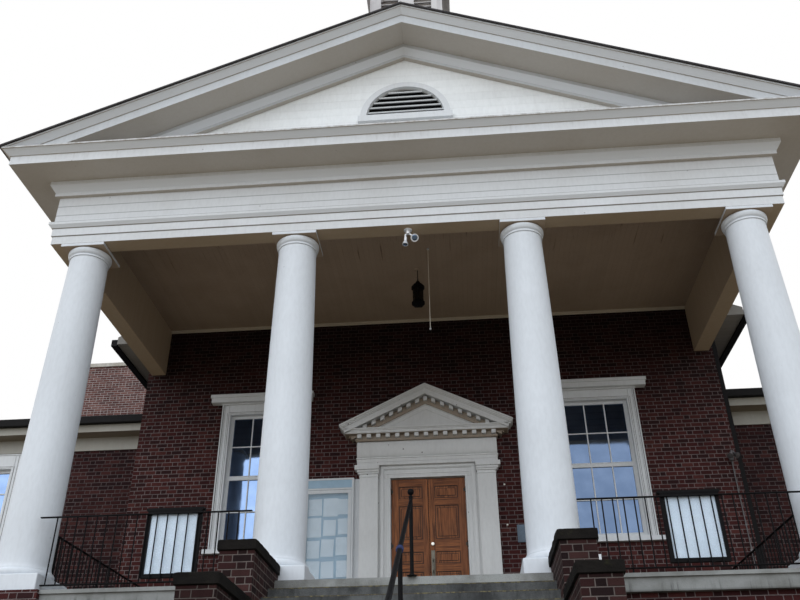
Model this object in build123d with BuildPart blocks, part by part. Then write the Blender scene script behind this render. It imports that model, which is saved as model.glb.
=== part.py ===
# County courthouse with a temple front, from the ground up.
# Millimetres, +Z up. X runs along the front, +Y runs from the stair to the rear.
# The origin is on the ground, midway between the sides, the front and the rear.
from build123d import *
import os
from math import hypot

# Stair and terrace
riser = 152
tread = 305
riser_count = 16
landing_reach = 580
stair_half = 1577
slab_t = 200
pier_w = 990
podium_wall_t = 300
podium_setback = 330
band_reach = 450
band_cap_t = 45
band_cap_reach = 30
podium_inset = 120
terrace_inset = 60

# Cheek walls beside the stair
cheek_w = 370
cap_overhang = 30
cap_t = 115
cap_rise = 200
cheek_stage_risers = 4
first_stage_reach = 1650

# Columns
column_inner_x = 1682
column_corner_inset = 500
column_h = 5090
plinth_w = 830
plinth_h = 210
torus_h = 90
torus_r = 385
torus_shoulder = 0.3
base_fillet_h = 24
base_fillet_r = 345
shaft_bottom_r = 330
shaft_top_r = 280
neck_ring_z = 4850
neck_ring_h = 34
neck_ring_r = 302
echinus_h = 70
echinus_r = 318
abacus_w = 660
abacus_h = 72

# Entablature of the portico
portico_half = 5410
beam_w = 280
fascia_h = 139
fascia_step = 15
taenia_h = 92
taenia_step = 40
frieze_h = 488
bed_h = 236
bed_reach = 150
bed_low_share = 0.25
bed_high_share = 0.7
corona_reach = 610
corona_h = 155
crown_reach = 730
crown_h = 105
crown_lip_share = 0.25
ceiling_rise = 970
ceiling_t = 40

# Roofs
pitch = 5 / 12
rake_bed_h = 235
rake_corona_h = 165
rake_crown_h = 120
shingle_t = 30
shingle_overhang = 30
main_roof_t = 150
main_ridge_drop = 440
main_verge = 300

# Lunette in the pediment
lunette_r = 628
lunette_rise = 784
louvre_sill_h = 58
lunette_band = 100
lunette_band_t = 25
lunette_sill_h = 120
lunette_sill_t = 80
lunette_sill_over = 30
louvre_rail = 30
slat_count = 7
slat_t = 22
slat_depth = 70
slat_setback = 20
slat_rise = 0.7
slat_start = 0.15
slat_end_gap = 0.5

# Walls of the main block, the wings and the rear annex
wall_t = 330
wall_set_out = 70
porch_depth = 4250
wing_half = 12300
wing_setback = 750
wing_depth = 6800
wing_top_rise = 4370
annex_gap = 500
annex_set_in = 1100
annex_top_rise = 9480
coping_t = 120
coping_overhang = 40
annex_roof_drop = 500
rear_from_porch = 13750
floor_rise = 390
floor_t = 150
main_side_window_gaps = (1900, 4500)
wing_window_shares = (0.28, 0.72)
annex_storey_h = 3930

# Main eaves and gutters
eave_soffit_rise = 5700
eave_reach = 650
eave_front_reach = 250
gutter_w = 120
gutter_h = 140
gutter_wall = 10
gutter_drop = 6
eave_joint = 10
downspout_w = 90
downspout_gap = 15
downspout_back = 120
downspout_foot = 100
strap_rises = (900, 3000, 5000)
strap_over = 8
strap_h = 40

# Wing cornice
wing_frieze_rise = 3850
wing_frieze_t = 25
wing_soffit_rise = 4120
wing_soffit_reach = 330
wing_gutter_rise = 4270
wing_pitch = 0.29

# Windows
window_x = 3120
window_half = 640
glass_half = 552
glass_bottom_rise = 1700
glass_top_rise = 4110
window_sill_rise = 1620
window_head_rise = 4180
meeting_rise = 2935
meeting_rail_h = 66
casing_half = 775
casing_top_rise = 4380
casing_t = 40
window_cap_half = 970
window_cap_h = 155
window_cap_t = 150
window_cap_step = 20
window_cap_share = 0.6
sill_half = 870
sill_h = 75
sill_t = 80
sash_t = 45
sash_setback = 60
frame_side = 30
frame_end = 20
glass_t = 6
wing_head_drop = 630
wing_casing_head = 280

# Entrance
door_half = 667
door_head_rise = 2790
wall_door_half = 717
wall_door_head_rise = 2840
leaf_t = 45
leaf_setback = 20
jamb_gap = 8
meeting_gap = 8
leaf_floor_gap = 12
leaf_head_gap = 8
hinge_r = 6
hinge_len = 110
hinge_plate_w = 30
hinge_plate_t = 3
knuckle_share = 0.5
knuckle_gap = 1
pin_share = 0.55
pin_clearance = 0.1
door_stop_w = 18
door_stop_t = 30
panel_depth = 12
panel_field = 45
panel_field_setback = 4
meeting_stile_w = 105
hinge_stile_w = 133
panel_rises = ((660, 1151), (1284, 1487), (1704, 2291), (2422, 2643))
hinge_head_gap = 230
hinge_floor_gap = 300
middle_hinge_rise = 1600
handle_x = 52
handle_plate_w = 52
handle_plate_t = 6
handle_plate_rises = (1060, 1500)
grip_w = 22
grip_reach = 55
grip_t = 18
grip_rises = (1120, 1330)
lock_rise = 1610
lock_r = 26
lock_t = 18
casing_inner_t = 35
casing_reveal = 73
door_casing_t = 50
door_casing_half = 850
door_casing_top_rise = 3020
pilaster_in = 888
pilaster_out = 1219
pilaster_t = 130
pilaster_cap_h = 165
cap_lower_in = 15
cap_lower_out = 25
cap_lower_reach = 20
cap_upper_in = 25
cap_upper_out = 90
cap_upper_reach = 50
pilaster_base_in = 12
pilaster_base_out = 25
pilaster_base_h = 180
surround_half = 1270
surround_fascia_h = 140
pulvin_h = 310
pulvin_bulge = 45
pulvin_setback = 10
surround_bed_h = 40
surround_bed_over = 25
surround_bed_reach = 35
dentil_band_reach = 20
dentil_h = 80
dentil_w = 86
dentil_t = 75
dentil_count = 15
surround_corona_h = 75
surround_corona_reach = 320
surround_corona_half = 1587
surround_pitch = 0.483
surround_tip_h = 85
surround_rake_h = 200
surround_lip = 30
surround_lip_share = 0.35
surround_step_share = 0.5
rake_dentil_start = 0.6
rake_dentil_span = 0.9
rake_dentil_least = 20
stoop_half = 1600
stoop_rise = 360
stoop_depth = 1000
stoop_step = 300

# Notice case, plaque and display cases
notice_x0 = -2235
notice_x1 = -1325
notice_bottom_rise = 680
notice_top_rise = 2810
notice_door_top_rise = 2600
notice_depth = 110
notice_wall = 30
notice_back = 15
notice_gap = 6
notice_door_t = 22
notice_rail = 60
notice_pin_r = 4
notice_pin_len = 70
notice_pin_inset = 250
notice_latch_rise = 1740
notice_latch_h = 60
notice_latch_t = 12
notice_latch_out = 36
notice_latch_in = 18
notice_title_t = 12
notice_glass_setback = 8
notice_glass_t = 4
plaque_x = 1668
plaque_w = 300
plaque_rise = 1740
plaque_t = 20
case_w = 680
case_h = 815
case_foot = 140
case_xs = (-2955, 3306)
case_frame = 45
case_depth = 60
case_hood_h = 30
case_hood_over = 25

# Railings
rail_h = 914
rail_w = 38
rail_t = 14
rail_foot = 75
baluster_w = 14
baluster_pitch = 125
post_w = 32
front_rail_y = -300
front_rail_in = 458
front_rail_out = 470
side_rail_in = 90
side_rail_gap = 20
post_over = 10
handrail_r = 19
handrail_h = 860
handrail_post_r = 21
ball_r = 34
ball_neck = 60
ball_seat = 0.8
handrail_top_y = -610
handrail_bottom_steps = 15
handrail_middle_steps = 6

# Lantern, floodlight and pull cord
lantern_y = 2400
lantern_drop = 220
lantern_r = 112
lantern_h = 410
lantern_cap_h = 120
lantern_rod_r = 9
lantern_brim = 1.15
lantern_peak = 0.3
lantern_foot = 0.85
canopy_r = 60
canopy_t = 18
flood_x = 40
flood_head_r = 55
flood_head_len = 140
flood_drop = 160
flood_stem_w = 24
flood_arm = 80
flood_arm_t = 20
flood_ahead = 30
flood_tilt = 60
flood_splay = 12
wall_light_in = 110
conduit_w = 40
conduit_t = 25
wall_light_w = 120
wall_light_reach = 130
wall_light_rise = 2900
wall_light_h = 130
conduit_rises = (2450, 2960)
cord_x = 221
cord_y = 1743
cord_len = 1560
cord_r = 6
cord_eye_r = 20
cord_eye_h = 25

# Cupola
cupola_y = 1200
cupola_half = 730
cupola_base_top_rise = 10150
cupola_band_h = 100
cupola_band_over = 45
belfry_half = 690
belfry_h = 1650
belfry_post = 210
belfry_mullion = 300
belfry_recess = 70
belfry_rail_h = 180
cupola_cornice_h = 200
cupola_cornice_over = 160
cupola_bed_over = 60
spire_inset = 30
spire_tip_w = 60
spire_h = 1500
spire_waist_h = 500
spire_waist_half = 330
finial_r = 90
finial_h = 450
finial_rod_r = 16

# Worked out from the sizes above
column_outer_x = portico_half - column_corner_inset
main_half = portico_half + wall_set_out
annex_half = wing_half - annex_set_in
podium_half = portico_half - podium_inset
front_rail_x0 = column_inner_x + front_rail_in
front_rail_x1 = column_outer_x - front_rail_out
side_rail_x = column_outer_x - side_rail_in
terrace_z = riser * riser_count
floor_z = terrace_z + floor_rise
stage_run = cheek_stage_risers * tread
stage_drop = cheek_stage_risers * riser
cheek_stages = riser_count // cheek_stage_risers
front_reach = first_stage_reach + (cheek_stages - 1) * stage_run
rear_reach = porch_depth + rear_from_porch + main_verge
y_col = (front_reach - rear_reach) / 2
y_face = y_col - abacus_w / 2
y_beam_back = y_face + beam_w
y_wall = y_col + porch_depth
y_wing = y_wall + wing_setback
y_wing_rear = y_wing + wing_depth
y_annex = y_wing_rear + annex_gap
y_rear = y_wall + rear_from_porch
y_pier = y_col - pier_w / 2
column_xs = (-column_outer_x, -column_inner_x, column_inner_x, column_outer_x)
beam_inner = portico_half - beam_w
z_beam = terrace_z + column_h
z_taenia = z_beam + 2 * fascia_h
z_frieze = z_taenia + taenia_h
z_bed = z_frieze + frieze_h
z_corona = z_bed + bed_h
z_crown = z_corona + corona_h
z_cornice_top = z_crown + crown_h
ridge_z = z_cornice_top + pitch * (portico_half + crown_reach)
main_ridge_z = ridge_z - main_ridge_drop
ceiling_z = z_beam + ceiling_rise
door_head_z = terrace_z + door_head_rise


def block(x0, x1, y0, y1, z0, z1, mode=Mode.ADD):
    """A plain block between two corners."""
    with Locations(((x0 + x1) / 2, (y0 + y1) / 2, (z0 + z1) / 2)):
        Box(abs(x1 - x0), abs(y1 - y0), abs(z1 - z0), mode=mode)


def post(x, y, z0, z1, r, mode=Mode.ADD):
    """An upright round bar."""
    with Locations((x, y, (z0 + z1) / 2)):
        Cylinder(r, z1 - z0, mode=mode)


def knob(x, y, z, r):
    """A round knob with eight facets up its side."""
    with BuildSketch(Plane.XZ.offset(-y)) as outline:
        with Locations((x, z)):
            RegularPolygon(r, 8, rotation=22.5)
            with Locations((-r, 0)):
                Rectangle(2 * r, 2 * r, mode=Mode.SUBTRACT)
    revolve(outline.sketch, axis=Axis((x, y, z), (0, 0, 1)))


def along_x(points, x0, x1, mode=Mode.ADD):
    """An outline in Y and Z, pushed along X."""
    with BuildSketch(Plane.YZ.offset(x0)) as outline:
        with BuildLine():
            Polyline(*points, close=True)
        make_face()
    extrude(outline.sketch, amount=x1 - x0, mode=mode)


def along_y(points, y0, y1, mode=Mode.ADD):
    """An outline in X and Z, pushed along Y."""
    with BuildSketch(Plane.XZ.offset(-y0)) as outline:
        with BuildLine():
            Polyline(*points, close=True)
        make_face()
    extrude(outline.sketch, amount=-(y1 - y0), mode=mode)


def down_slope(points, run, slope, side, mode=Mode.ADD):
    """A section in Y and Z at the ridge, pushed down one slope of a roof."""
    with BuildSketch(Plane.YZ) as section:
        with BuildLine():
            Polyline(*points, close=True)
        make_face()
    extrude(section.sketch, amount=run * hypot(1, slope), dir=(side, 0, -slope), mode=mode)


def roof_z(x, ridge=ridge_z):
    """Height of a roof plane over the distance x from the ridge."""
    return ridge - pitch * abs(x)


def save(part, name):
    """Label a finished piece and write its file."""
    part.part.label = name
    export_step(part.part, f"parts/{name}.step")


os.makedirs("parts", exist_ok=True)


# Podium: brick wall and piers below the terrace
def pier_block(x, z0, mode=Mode.ADD):
    """The square pier under a column, up to the terrace."""
    block(x - pier_w / 2, x + pier_w / 2, y_pier, y_pier + pier_w, z0, terrace_z, mode=mode)


def make_podium():
    with BuildPart() as podium_front_wall:
        block(-podium_half, podium_half, y_face, y_face + podium_wall_t, 0, terrace_z - slab_t)
        for x in column_xs:
            pier_block(x, 0)
    save(podium_front_wall, "podium_front_wall")
    with BuildPart() as podium_side_walls:
        for side in (-1, 1):
            outer = side * podium_half
            block(outer, outer - side * podium_wall_t, y_pier + pier_w, y_wall, 0, terrace_z - slab_t)
    save(podium_side_walls, "podium_side_walls")


# Terrace: concrete slab whose edge shows as a band with a nosing
def make_terrace():
    bay_in = column_inner_x + pier_w / 2
    bay_out = column_outer_x - pier_w / 2
    edge = portico_half - terrace_inset
    with BuildPart() as terrace_slab:
        block(-edge, edge, y_face, y_wall, terrace_z - slab_t, terrace_z)
        for side in (-1, 1):
            block(side * bay_in, side * bay_out, y_col - band_reach + band_cap_reach, y_face,
                  terrace_z - slab_t, terrace_z)
            block(side * bay_in, side * bay_out, y_col - band_reach, y_face,
                  terrace_z - band_cap_t, terrace_z)
            block(side * edge, side * (edge + band_cap_reach), y_pier + pier_w, y_wall,
                  terrace_z - band_cap_t, terrace_z)
        for x in column_xs:
            pier_block(x, terrace_z - slab_t, mode=Mode.SUBTRACT)
    save(terrace_slab, "terrace_slab")


# Stair: one flight of stone steps from the ground to the terrace
def make_steps():
    nose = y_col - landing_reach
    outline = [(y_face, 0), (y_face, terrace_z), (nose, terrace_z)]
    for step in range(1, riser_count):
        outline.append((nose - (step - 1) * tread, terrace_z - step * riser))
        outline.append((nose - step * tread, terrace_z - step * riser))
    outline.append((nose - (riser_count - 1) * tread, 0))
    with BuildPart() as entrance_steps:
        along_x(outline, -stair_half, stair_half)
        for x in (-column_inner_x, column_inner_x):
            pier_block(x, 0, mode=Mode.SUBTRACT)
    save(entrance_steps, "entrance_steps")


# Cheek walls: stepped brick walls beside the stair with stone caps
def cheek_front(stage):
    return y_col - first_stage_reach - stage * stage_run


def cap_top(stage):
    return terrace_z + cap_rise - stage * stage_drop


def make_cheeks():
    plinth_front = y_col - plinth_w / 2
    outline = [(y_pier, 0), (y_pier, terrace_z), (plinth_front, terrace_z),
               (plinth_front, cap_top(0) - cap_t)]
    for stage in range(cheek_stages):
        front = cheek_front(stage) + cap_overhang
        outline.append((front, cap_top(stage) - cap_t))
        if stage + 1 < cheek_stages:
            outline.append((front, cap_top(stage + 1) - cap_t))
    outline.append((cheek_front(cheek_stages - 1) + cap_overhang, 0))
    with BuildPart() as cheek_walls:
        along_x(outline, stair_half, stair_half + cheek_w)
        along_x(outline, -stair_half - cheek_w, -stair_half)
    save(cheek_walls, "cheek_walls")
    with BuildPart() as cheek_caps:
        for side in (-1, 1):
            for stage in range(cheek_stages):
                back = plinth_front if stage == 0 else cheek_front(stage - 1) + cap_overhang
                block(side * (stair_half - cap_overhang), side * (stair_half + cheek_w + cap_overhang),
                      cheek_front(stage), back, cap_top(stage) - cap_t, cap_top(stage))
    save(cheek_caps, "cheek_caps")


# Columns: Tuscan, each with its plinth, base ring, tapered shaft and capital
def make_column():
    shaft_base = plinth_h + torus_h + base_fillet_h
    echinus_z = column_h - abacus_h - echinus_h
    with BuildPart() as column:
        with Locations((0, 0, plinth_h / 2)):
            Box(plinth_w, plinth_w, plinth_h)
        with BuildSketch(Plane.XZ):
            with BuildLine():
                Polyline((shaft_top_r, echinus_z), (shaft_top_r, neck_ring_z + neck_ring_h),
                         (neck_ring_r, neck_ring_z + neck_ring_h), (neck_ring_r, neck_ring_z),
                         (shaft_top_r, neck_ring_z), (shaft_bottom_r, shaft_base),
                         (base_fillet_r, shaft_base), (base_fillet_r, plinth_h + torus_h),
                         (torus_r, plinth_h + torus_h * (1 - torus_shoulder)),
                         (torus_r, plinth_h + torus_h * torus_shoulder),
                         (base_fillet_r, plinth_h), (0, plinth_h), (0, column_h - abacus_h),
                         (abacus_w / 2, column_h - abacus_h),
                         (echinus_r, echinus_z + echinus_h / 2), close=True)
            make_face()
        revolve(axis=Axis.Z)
        with Locations((0, 0, column_h - abacus_h / 2)):
            Box(abacus_w, abacus_w, abacus_h)
    return column.part


def make_columns():
    column = make_column()
    with BuildPart() as columns:
        for x in column_xs:
            with Locations((x, y_col, terrace_z)):
                add(column)
    save(columns, "columns")


# Entablature: fasciae, taenia, frieze, bed mould, corona and crown
def entablature_edge():
    """Outward reach and height of each point of the moulded face, from the bottom up."""
    step_2 = fascia_step
    step_3 = 2 * fascia_step
    z_lip = z_cornice_top - crown_h * crown_lip_share
    return [(0, z_beam), (0, z_beam + fascia_h), (step_2, z_beam + fascia_h), (step_2, z_taenia),
            (step_3, z_taenia), (step_3 + taenia_step, z_taenia + taenia_h / 2),
            (step_3 + taenia_step, z_frieze), (step_2, z_frieze), (step_2, z_bed),
            (bed_reach / 2, z_bed), (bed_reach / 2, z_bed + bed_h * bed_low_share),
            (bed_reach, z_bed + bed_h * bed_high_share),
            (bed_reach, z_corona), (corona_reach, z_corona), (corona_reach, z_crown),
            (corona_reach + fascia_step, z_crown), (crown_reach - fascia_step, z_lip),
            (crown_reach, z_lip), (crown_reach, z_cornice_top)]


def mitre(side):
    """The plane through a front corner where two runs meet."""
    return Plane(origin=(side * portico_half, y_face, 0), z_dir=(side, 1, 0))


def make_side_run(side):
    """One side of the entablature, mitred at the front corner."""
    corner = side * (portico_half + crown_reach)
    edge = [(side * (portico_half + reach), z) for reach, z in entablature_edge()]
    edge += [(side * beam_inner, roof_z(beam_inner)), (side * beam_inner, z_beam)]
    with BuildPart() as run:
        along_y(edge, y_face - crown_reach, y_wall)
        split(bisect_by=mitre(side), keep=Keep.TOP)
        block(side * beam_inner, corner, y_face - crown_reach, y_face, z_cornice_top, ridge_z,
              mode=Mode.SUBTRACT)
    return run.part


def make_entablature():
    front = [(y_face - reach, z) for reach, z in entablature_edge()]
    front += [(y_beam_back, z_cornice_top), (y_beam_back, z_beam)]
    corner = portico_half + crown_reach
    with BuildPart() as entablature_front:
        along_x(front, -corner, corner)
        for side in (-1, 1):
            split(bisect_by=mitre(side), keep=Keep.BOTTOM)
    save(entablature_front, "entablature_front")
    with BuildPart() as entablature_sides:
        add(make_side_run(-1))
        add(make_side_run(1))
    save(entablature_sides, "entablature_sides")


def make_ceiling():
    with BuildPart() as portico_ceiling:
        block(-beam_inner, beam_inner, y_beam_back, y_wall, ceiling_z, ceiling_z + ceiling_t)
    save(portico_ceiling, "portico_ceiling")


# Pediment: tympanum with a lunette, raking cornices and the portico roof
def half_disc(radius, base_z, y0, y1, mode=Mode.ADD):
    with BuildSketch(Plane.XZ.offset(-y0)) as shape:
        with BuildLine():
            Line((-radius, base_z), (radius, base_z))
            ThreePointArc((radius, base_z), (0, base_z + radius), (-radius, base_z))
        make_face()
    extrude(shape.sketch, amount=-(y1 - y0), mode=mode)


def make_pediment():
    base = z_cornice_top
    lunette_z = base + lunette_rise
    with BuildPart() as tympanum:
        along_y([(-beam_inner, base), (beam_inner, base), (beam_inner, roof_z(beam_inner)), (0, ridge_z),
                 (-beam_inner, roof_z(beam_inner))], y_face, y_beam_back)
        half_disc(lunette_r, lunette_z, y_face, y_beam_back, mode=Mode.SUBTRACT)
    save(tympanum, "tympanum")
    with BuildPart() as lunette_surround:
        half_disc(lunette_r + lunette_band, lunette_z, y_face - lunette_band_t, y_face)
        half_disc(lunette_r, lunette_z, y_face - lunette_band_t, y_face, mode=Mode.SUBTRACT)
        sill = lunette_r + lunette_band + lunette_sill_over
        block(-sill, sill, y_face - lunette_sill_t, y_face, lunette_z - lunette_sill_h, lunette_z)
    save(lunette_surround, "lunette_surround")
    with BuildPart() as lunette_louvre:
        half_disc(lunette_r, lunette_z, y_face, y_beam_back)
        half_disc(lunette_r - louvre_rail, lunette_z, y_face, y_beam_back, mode=Mode.SUBTRACT)
        add(make_slats(lunette_z))
    save(lunette_louvre, "lunette_louvre")


def make_slats(base):
    """Louvre slats over a bottom rail, trimmed to a half disc."""
    pitch_z = (lunette_r - louvre_sill_h) / (slat_count + slat_end_gap)
    rise = slat_rise * pitch_z
    y0 = y_face + slat_setback
    y1 = y0 + slat_depth
    with BuildPart() as slats:
        block(-lunette_r, lunette_r, y_face, y_beam_back, base, base + louvre_sill_h)
        for index in range(slat_count):
            z = base + louvre_sill_h + (index + slat_start) * pitch_z
            slat = [(y0, z), (y0, z + slat_t), (y1, z + slat_t + rise), (y1, z + rise)]
            along_x(slat, -lunette_r, lunette_r)
        half_disc(lunette_r - louvre_rail / 2, base, y_face, y_beam_back, mode=Mode.INTERSECT)
    return slats.part


def make_rakes():
    run = portico_half + crown_reach
    z_crown_low = ridge_z - rake_crown_h
    z_corona_low = z_crown_low - rake_corona_h
    z_bed_low = z_corona_low - rake_bed_h
    z_lip = ridge_z - rake_crown_h * crown_lip_share
    section = [(y_face, z_bed_low), (y_face - bed_reach / 2, z_bed_low),
               (y_face - bed_reach / 2, z_bed_low + rake_bed_h * bed_low_share),
               (y_face - bed_reach, z_bed_low + rake_bed_h * bed_high_share),
               (y_face - bed_reach, z_corona_low),
               (y_face - corona_reach, z_corona_low), (y_face - corona_reach, z_crown_low),
               (y_face - corona_reach - fascia_step, z_crown_low),
               (y_face - crown_reach + fascia_step, z_lip), (y_face - crown_reach, z_lip),
               (y_face - crown_reach, ridge_z),
               (y_face, ridge_z)]
    with BuildPart() as raking_cornice:
        down_slope(section, run, pitch, 1)
        down_slope(section, run, pitch, -1)
        split(bisect_by=Plane.XY.offset(z_cornice_top), keep=Keep.TOP)
    save(raking_cornice, "raking_cornice")


def make_portico_roof():
    run = portico_half + crown_reach + shingle_overhang
    y0 = y_face - crown_reach - shingle_overhang
    y1 = y_wall + wall_t
    section = [(y0, ridge_z), (y1, ridge_z), (y1, ridge_z + shingle_t), (y0, ridge_z + shingle_t)]
    with BuildPart() as portico_roof:
        down_slope(section, run, pitch, 1)
        down_slope(section, run, pitch, -1)
    save(portico_roof, "portico_roof")


# Main block: brick walls with real thickness, open at the door and windows
def window_hole(x, wall_y0, wall_y1, drop=0):
    block(x - window_half, x + window_half, wall_y0, wall_y1, terrace_z + window_sill_rise,
          terrace_z + window_head_rise - drop, mode=Mode.SUBTRACT)


def side_window_hole(y, wall_x0, wall_x1, drop=0, lift=0):
    block(wall_x0, wall_x1, y - window_half, y + window_half, terrace_z + window_sill_rise + lift,
          terrace_z + window_head_rise - drop + lift, mode=Mode.SUBTRACT)


main_side_window_ys = [y_wing_rear + gap for gap in main_side_window_gaps]
rear_window_xs = (-window_x, 0, window_x)
wing_window_x = (main_half + wing_half) / 2
wing_end_window_ys = [y_wing + wing_depth * share for share in wing_window_shares]
annex_window_y = (y_annex + y_rear) / 2
annex_window_x = -(main_half + annex_half) / 2
annex_storeys = (-wing_head_drop, annex_storey_h - wing_head_drop)


def make_main_walls():
    y0 = y_wall
    y1 = y_wall + wall_t
    door_top = roof_z(wall_door_half)
    with BuildPart() as front_wall_base:
        block(-main_half, main_half, y0, y1, 0, floor_z)
    save(front_wall_base, "front_wall_base")
    with BuildPart() as front_walls:
        for side in (-1, 1):
            along_y([(side * wall_door_half, floor_z), (side * main_half, floor_z),
                     (side * main_half, roof_z(main_half)), (side * wall_door_half, door_top)], y0, y1)
            window_hole(side * window_x, y0, y1)
    save(front_walls, "front_walls")
    with BuildPart() as front_wall_over_door:
        along_y([(-wall_door_half, terrace_z + wall_door_head_rise),
                 (wall_door_half, terrace_z + wall_door_head_rise), (wall_door_half, door_top),
                 (0, ridge_z), (-wall_door_half, door_top)], y0, y1)
    save(front_wall_over_door, "front_wall_over_door")
    under = main_ridge_z - main_roof_t
    with BuildPart() as main_side_walls:
        for side in (-1, 1):
            along_y([(side * main_half, 0), (side * (main_half - wall_t), 0),
                     (side * (main_half - wall_t), roof_z(main_half - wall_t, under)),
                     (side * main_half, roof_z(main_half, under))], y1, y_rear)
        for y in main_side_window_ys:
            side_window_hole(y, main_half - wall_t, main_half)
    save(main_side_walls, "main_side_walls")
    inner = main_half - wall_t
    inner_z = roof_z(inner, under)
    with BuildPart() as main_rear_wall:
        along_y([(-inner, 0), (inner, 0), (inner, inner_z), (0, under), (-inner, inner_z)],
                y_rear - wall_t, y_rear)
        for x in rear_window_xs:
            window_hole(x, y_rear - wall_t, y_rear)
    save(main_rear_wall, "main_rear_wall")


def make_main_roof():
    y0 = y_wall + wall_t
    y1 = y_rear + main_verge
    run = main_half + eave_reach + gutter_w / 2
    under = main_ridge_z - main_roof_t
    section = [(y0, under), (y1, under), (y1, main_ridge_z), (y0, main_ridge_z)]
    with BuildPart() as main_roof:
        down_slope(section, run, pitch, 1)
        down_slope(section, run, pitch, -1)
        block(-main_half - 2 * run, -main_half, y_annex, y1 + main_verge, 0, ridge_z, mode=Mode.SUBTRACT)
    save(main_roof, "main_roof")


# Main eaves: boxed soffit with a gutter along each side
def eave_run(side):
    y_end = y_annex if side < 0 else y_rear + main_verge
    return y_wall - eave_front_reach, y_end


def make_eaves():
    under = main_ridge_z - main_roof_t
    low = terrace_z + eave_soffit_rise
    edge = main_half + eave_reach
    step_x = portico_half + bed_reach + eave_joint
    with BuildPart() as main_eaves:
        for side in (-1, 1):
            y0, y1 = eave_run(side)
            along_y([(side * main_half, low), (side * edge, low), (side * edge, roof_z(edge, under)),
                     (side * main_half, roof_z(main_half, under))], y_wall, y1)
            along_y([(side * step_x, low), (side * edge, low), (side * edge, roof_z(edge, under)),
                     (side * step_x, roof_z(step_x, under))], y0, y_wall)
    save(main_eaves, "main_eaves")


def add_main_gutter(side):
    under = main_ridge_z - main_roof_t
    edge = main_half + eave_reach
    y0, y1 = eave_run(side)
    top = roof_z(edge + gutter_w, under) - gutter_drop
    block(side * edge, side * (edge + gutter_w), y0, y1, top - gutter_h, top)
    block(side * (edge + gutter_wall), side * (edge + gutter_w - gutter_wall), y0 + gutter_wall,
          y1 - gutter_wall, top - gutter_h + gutter_wall, top, mode=Mode.SUBTRACT)


def add_wing_gutter(side):
    reach = wing_soffit_reach
    gutter_z = terrace_z + wing_gutter_rise
    wing_ring(side, reach, reach + gutter_w, gutter_z, gutter_z + gutter_h)
    wing_ring(side, reach + gutter_wall, reach + gutter_w - gutter_wall, gutter_z + gutter_wall,
              gutter_z + gutter_h, mode=Mode.SUBTRACT)


def add_downspout():
    top = terrace_z + eave_soffit_rise
    half = downspout_w / 2
    x = main_half + half + downspout_gap
    y = y_wall + downspout_back
    block(x - half, x + half, y - half, y + half, downspout_foot, top)
    for rise in strap_rises:
        z = terrace_z + rise
        block(main_half, x, y - half - strap_over, y + half + strap_over, z, z + strap_h)


def make_gutters():
    with BuildPart() as gutters:
        for side in (-1, 1):
            add_main_gutter(side)
            add_wing_gutter(side)
        add_downspout()
    save(gutters, "gutters")


# Wings: one room each side, with a boxed cornice, a gutter and a hipped roof
def make_wings():
    top = terrace_z + wing_top_rise
    with BuildPart() as wing_walls:
        for side in (-1, 1):
            block(side * main_half, side * wing_half, y_wing, y_wing + wall_t, 0, top)
            block(side * main_half, side * wing_half, y_wing_rear - wall_t, y_wing_rear, 0, top)
            window_hole(side * wing_window_x, y_wing, y_wing + wall_t, wing_head_drop)
        window_hole(wing_window_x, y_wing_rear - wall_t, y_wing_rear, wing_head_drop)
    save(wing_walls, "wing_walls")
    with BuildPart() as wing_end_walls:
        for side in (-1, 1):
            block(side * wing_half, side * (wing_half - wall_t), y_wing + wall_t, y_wing_rear - wall_t,
                  0, top)
            for y in wing_end_window_ys:
                side_window_hole(y, side * (wing_half - wall_t), side * wing_half, wing_head_drop)
    save(wing_end_walls, "wing_end_walls")


def wing_ring(side, reach_0, reach_1, z0, z1, mode=Mode.ADD):
    """A band round three sides of a wing, between two distances from its walls."""
    x0 = side * main_half
    block(x0, side * (wing_half + reach_1), y_wing - reach_1, y_wing - reach_0, z0, z1, mode=mode)
    block(x0, side * (wing_half + reach_1), y_wing_rear + reach_0, y_wing_rear + reach_1, z0, z1, mode=mode)
    block(side * (wing_half + reach_0), side * (wing_half + reach_1), y_wing - reach_1, y_wing_rear + reach_1,
          z0, z1, mode=mode)


def make_wing_cornices():
    frieze_z = terrace_z + wing_frieze_rise
    soffit_z = terrace_z + wing_soffit_rise
    top = terrace_z + wing_top_rise
    with BuildPart() as wing_cornices:
        for side in (-1, 1):
            wing_ring(side, 0, wing_frieze_t, frieze_z, soffit_z)
            wing_ring(side, 0, wing_soffit_reach, soffit_z, top)
    save(wing_cornices, "wing_cornices")


def make_hip_roof(side):
    base = terrace_z + wing_top_rise
    edge = side * (wing_half + wing_soffit_reach)
    y_mid = (y_wing + y_wing_rear) / 2
    half = wing_depth / 2 + wing_soffit_reach
    with BuildPart() as roof:
        along_x([(y_mid - half, base), (y_mid + half, base), (y_mid, base + wing_pitch * half)],
                side * main_half, edge)
        split(bisect_by=Plane(origin=(edge, y_mid, base), z_dir=(side * wing_pitch, 0, 1)), keep=Keep.BOTTOM)
    return roof.part


def make_wing_roofs():
    with BuildPart() as wing_roofs:
        add(make_hip_roof(-1))
        add(make_hip_roof(1))
    save(wing_roofs, "wing_roofs")


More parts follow.
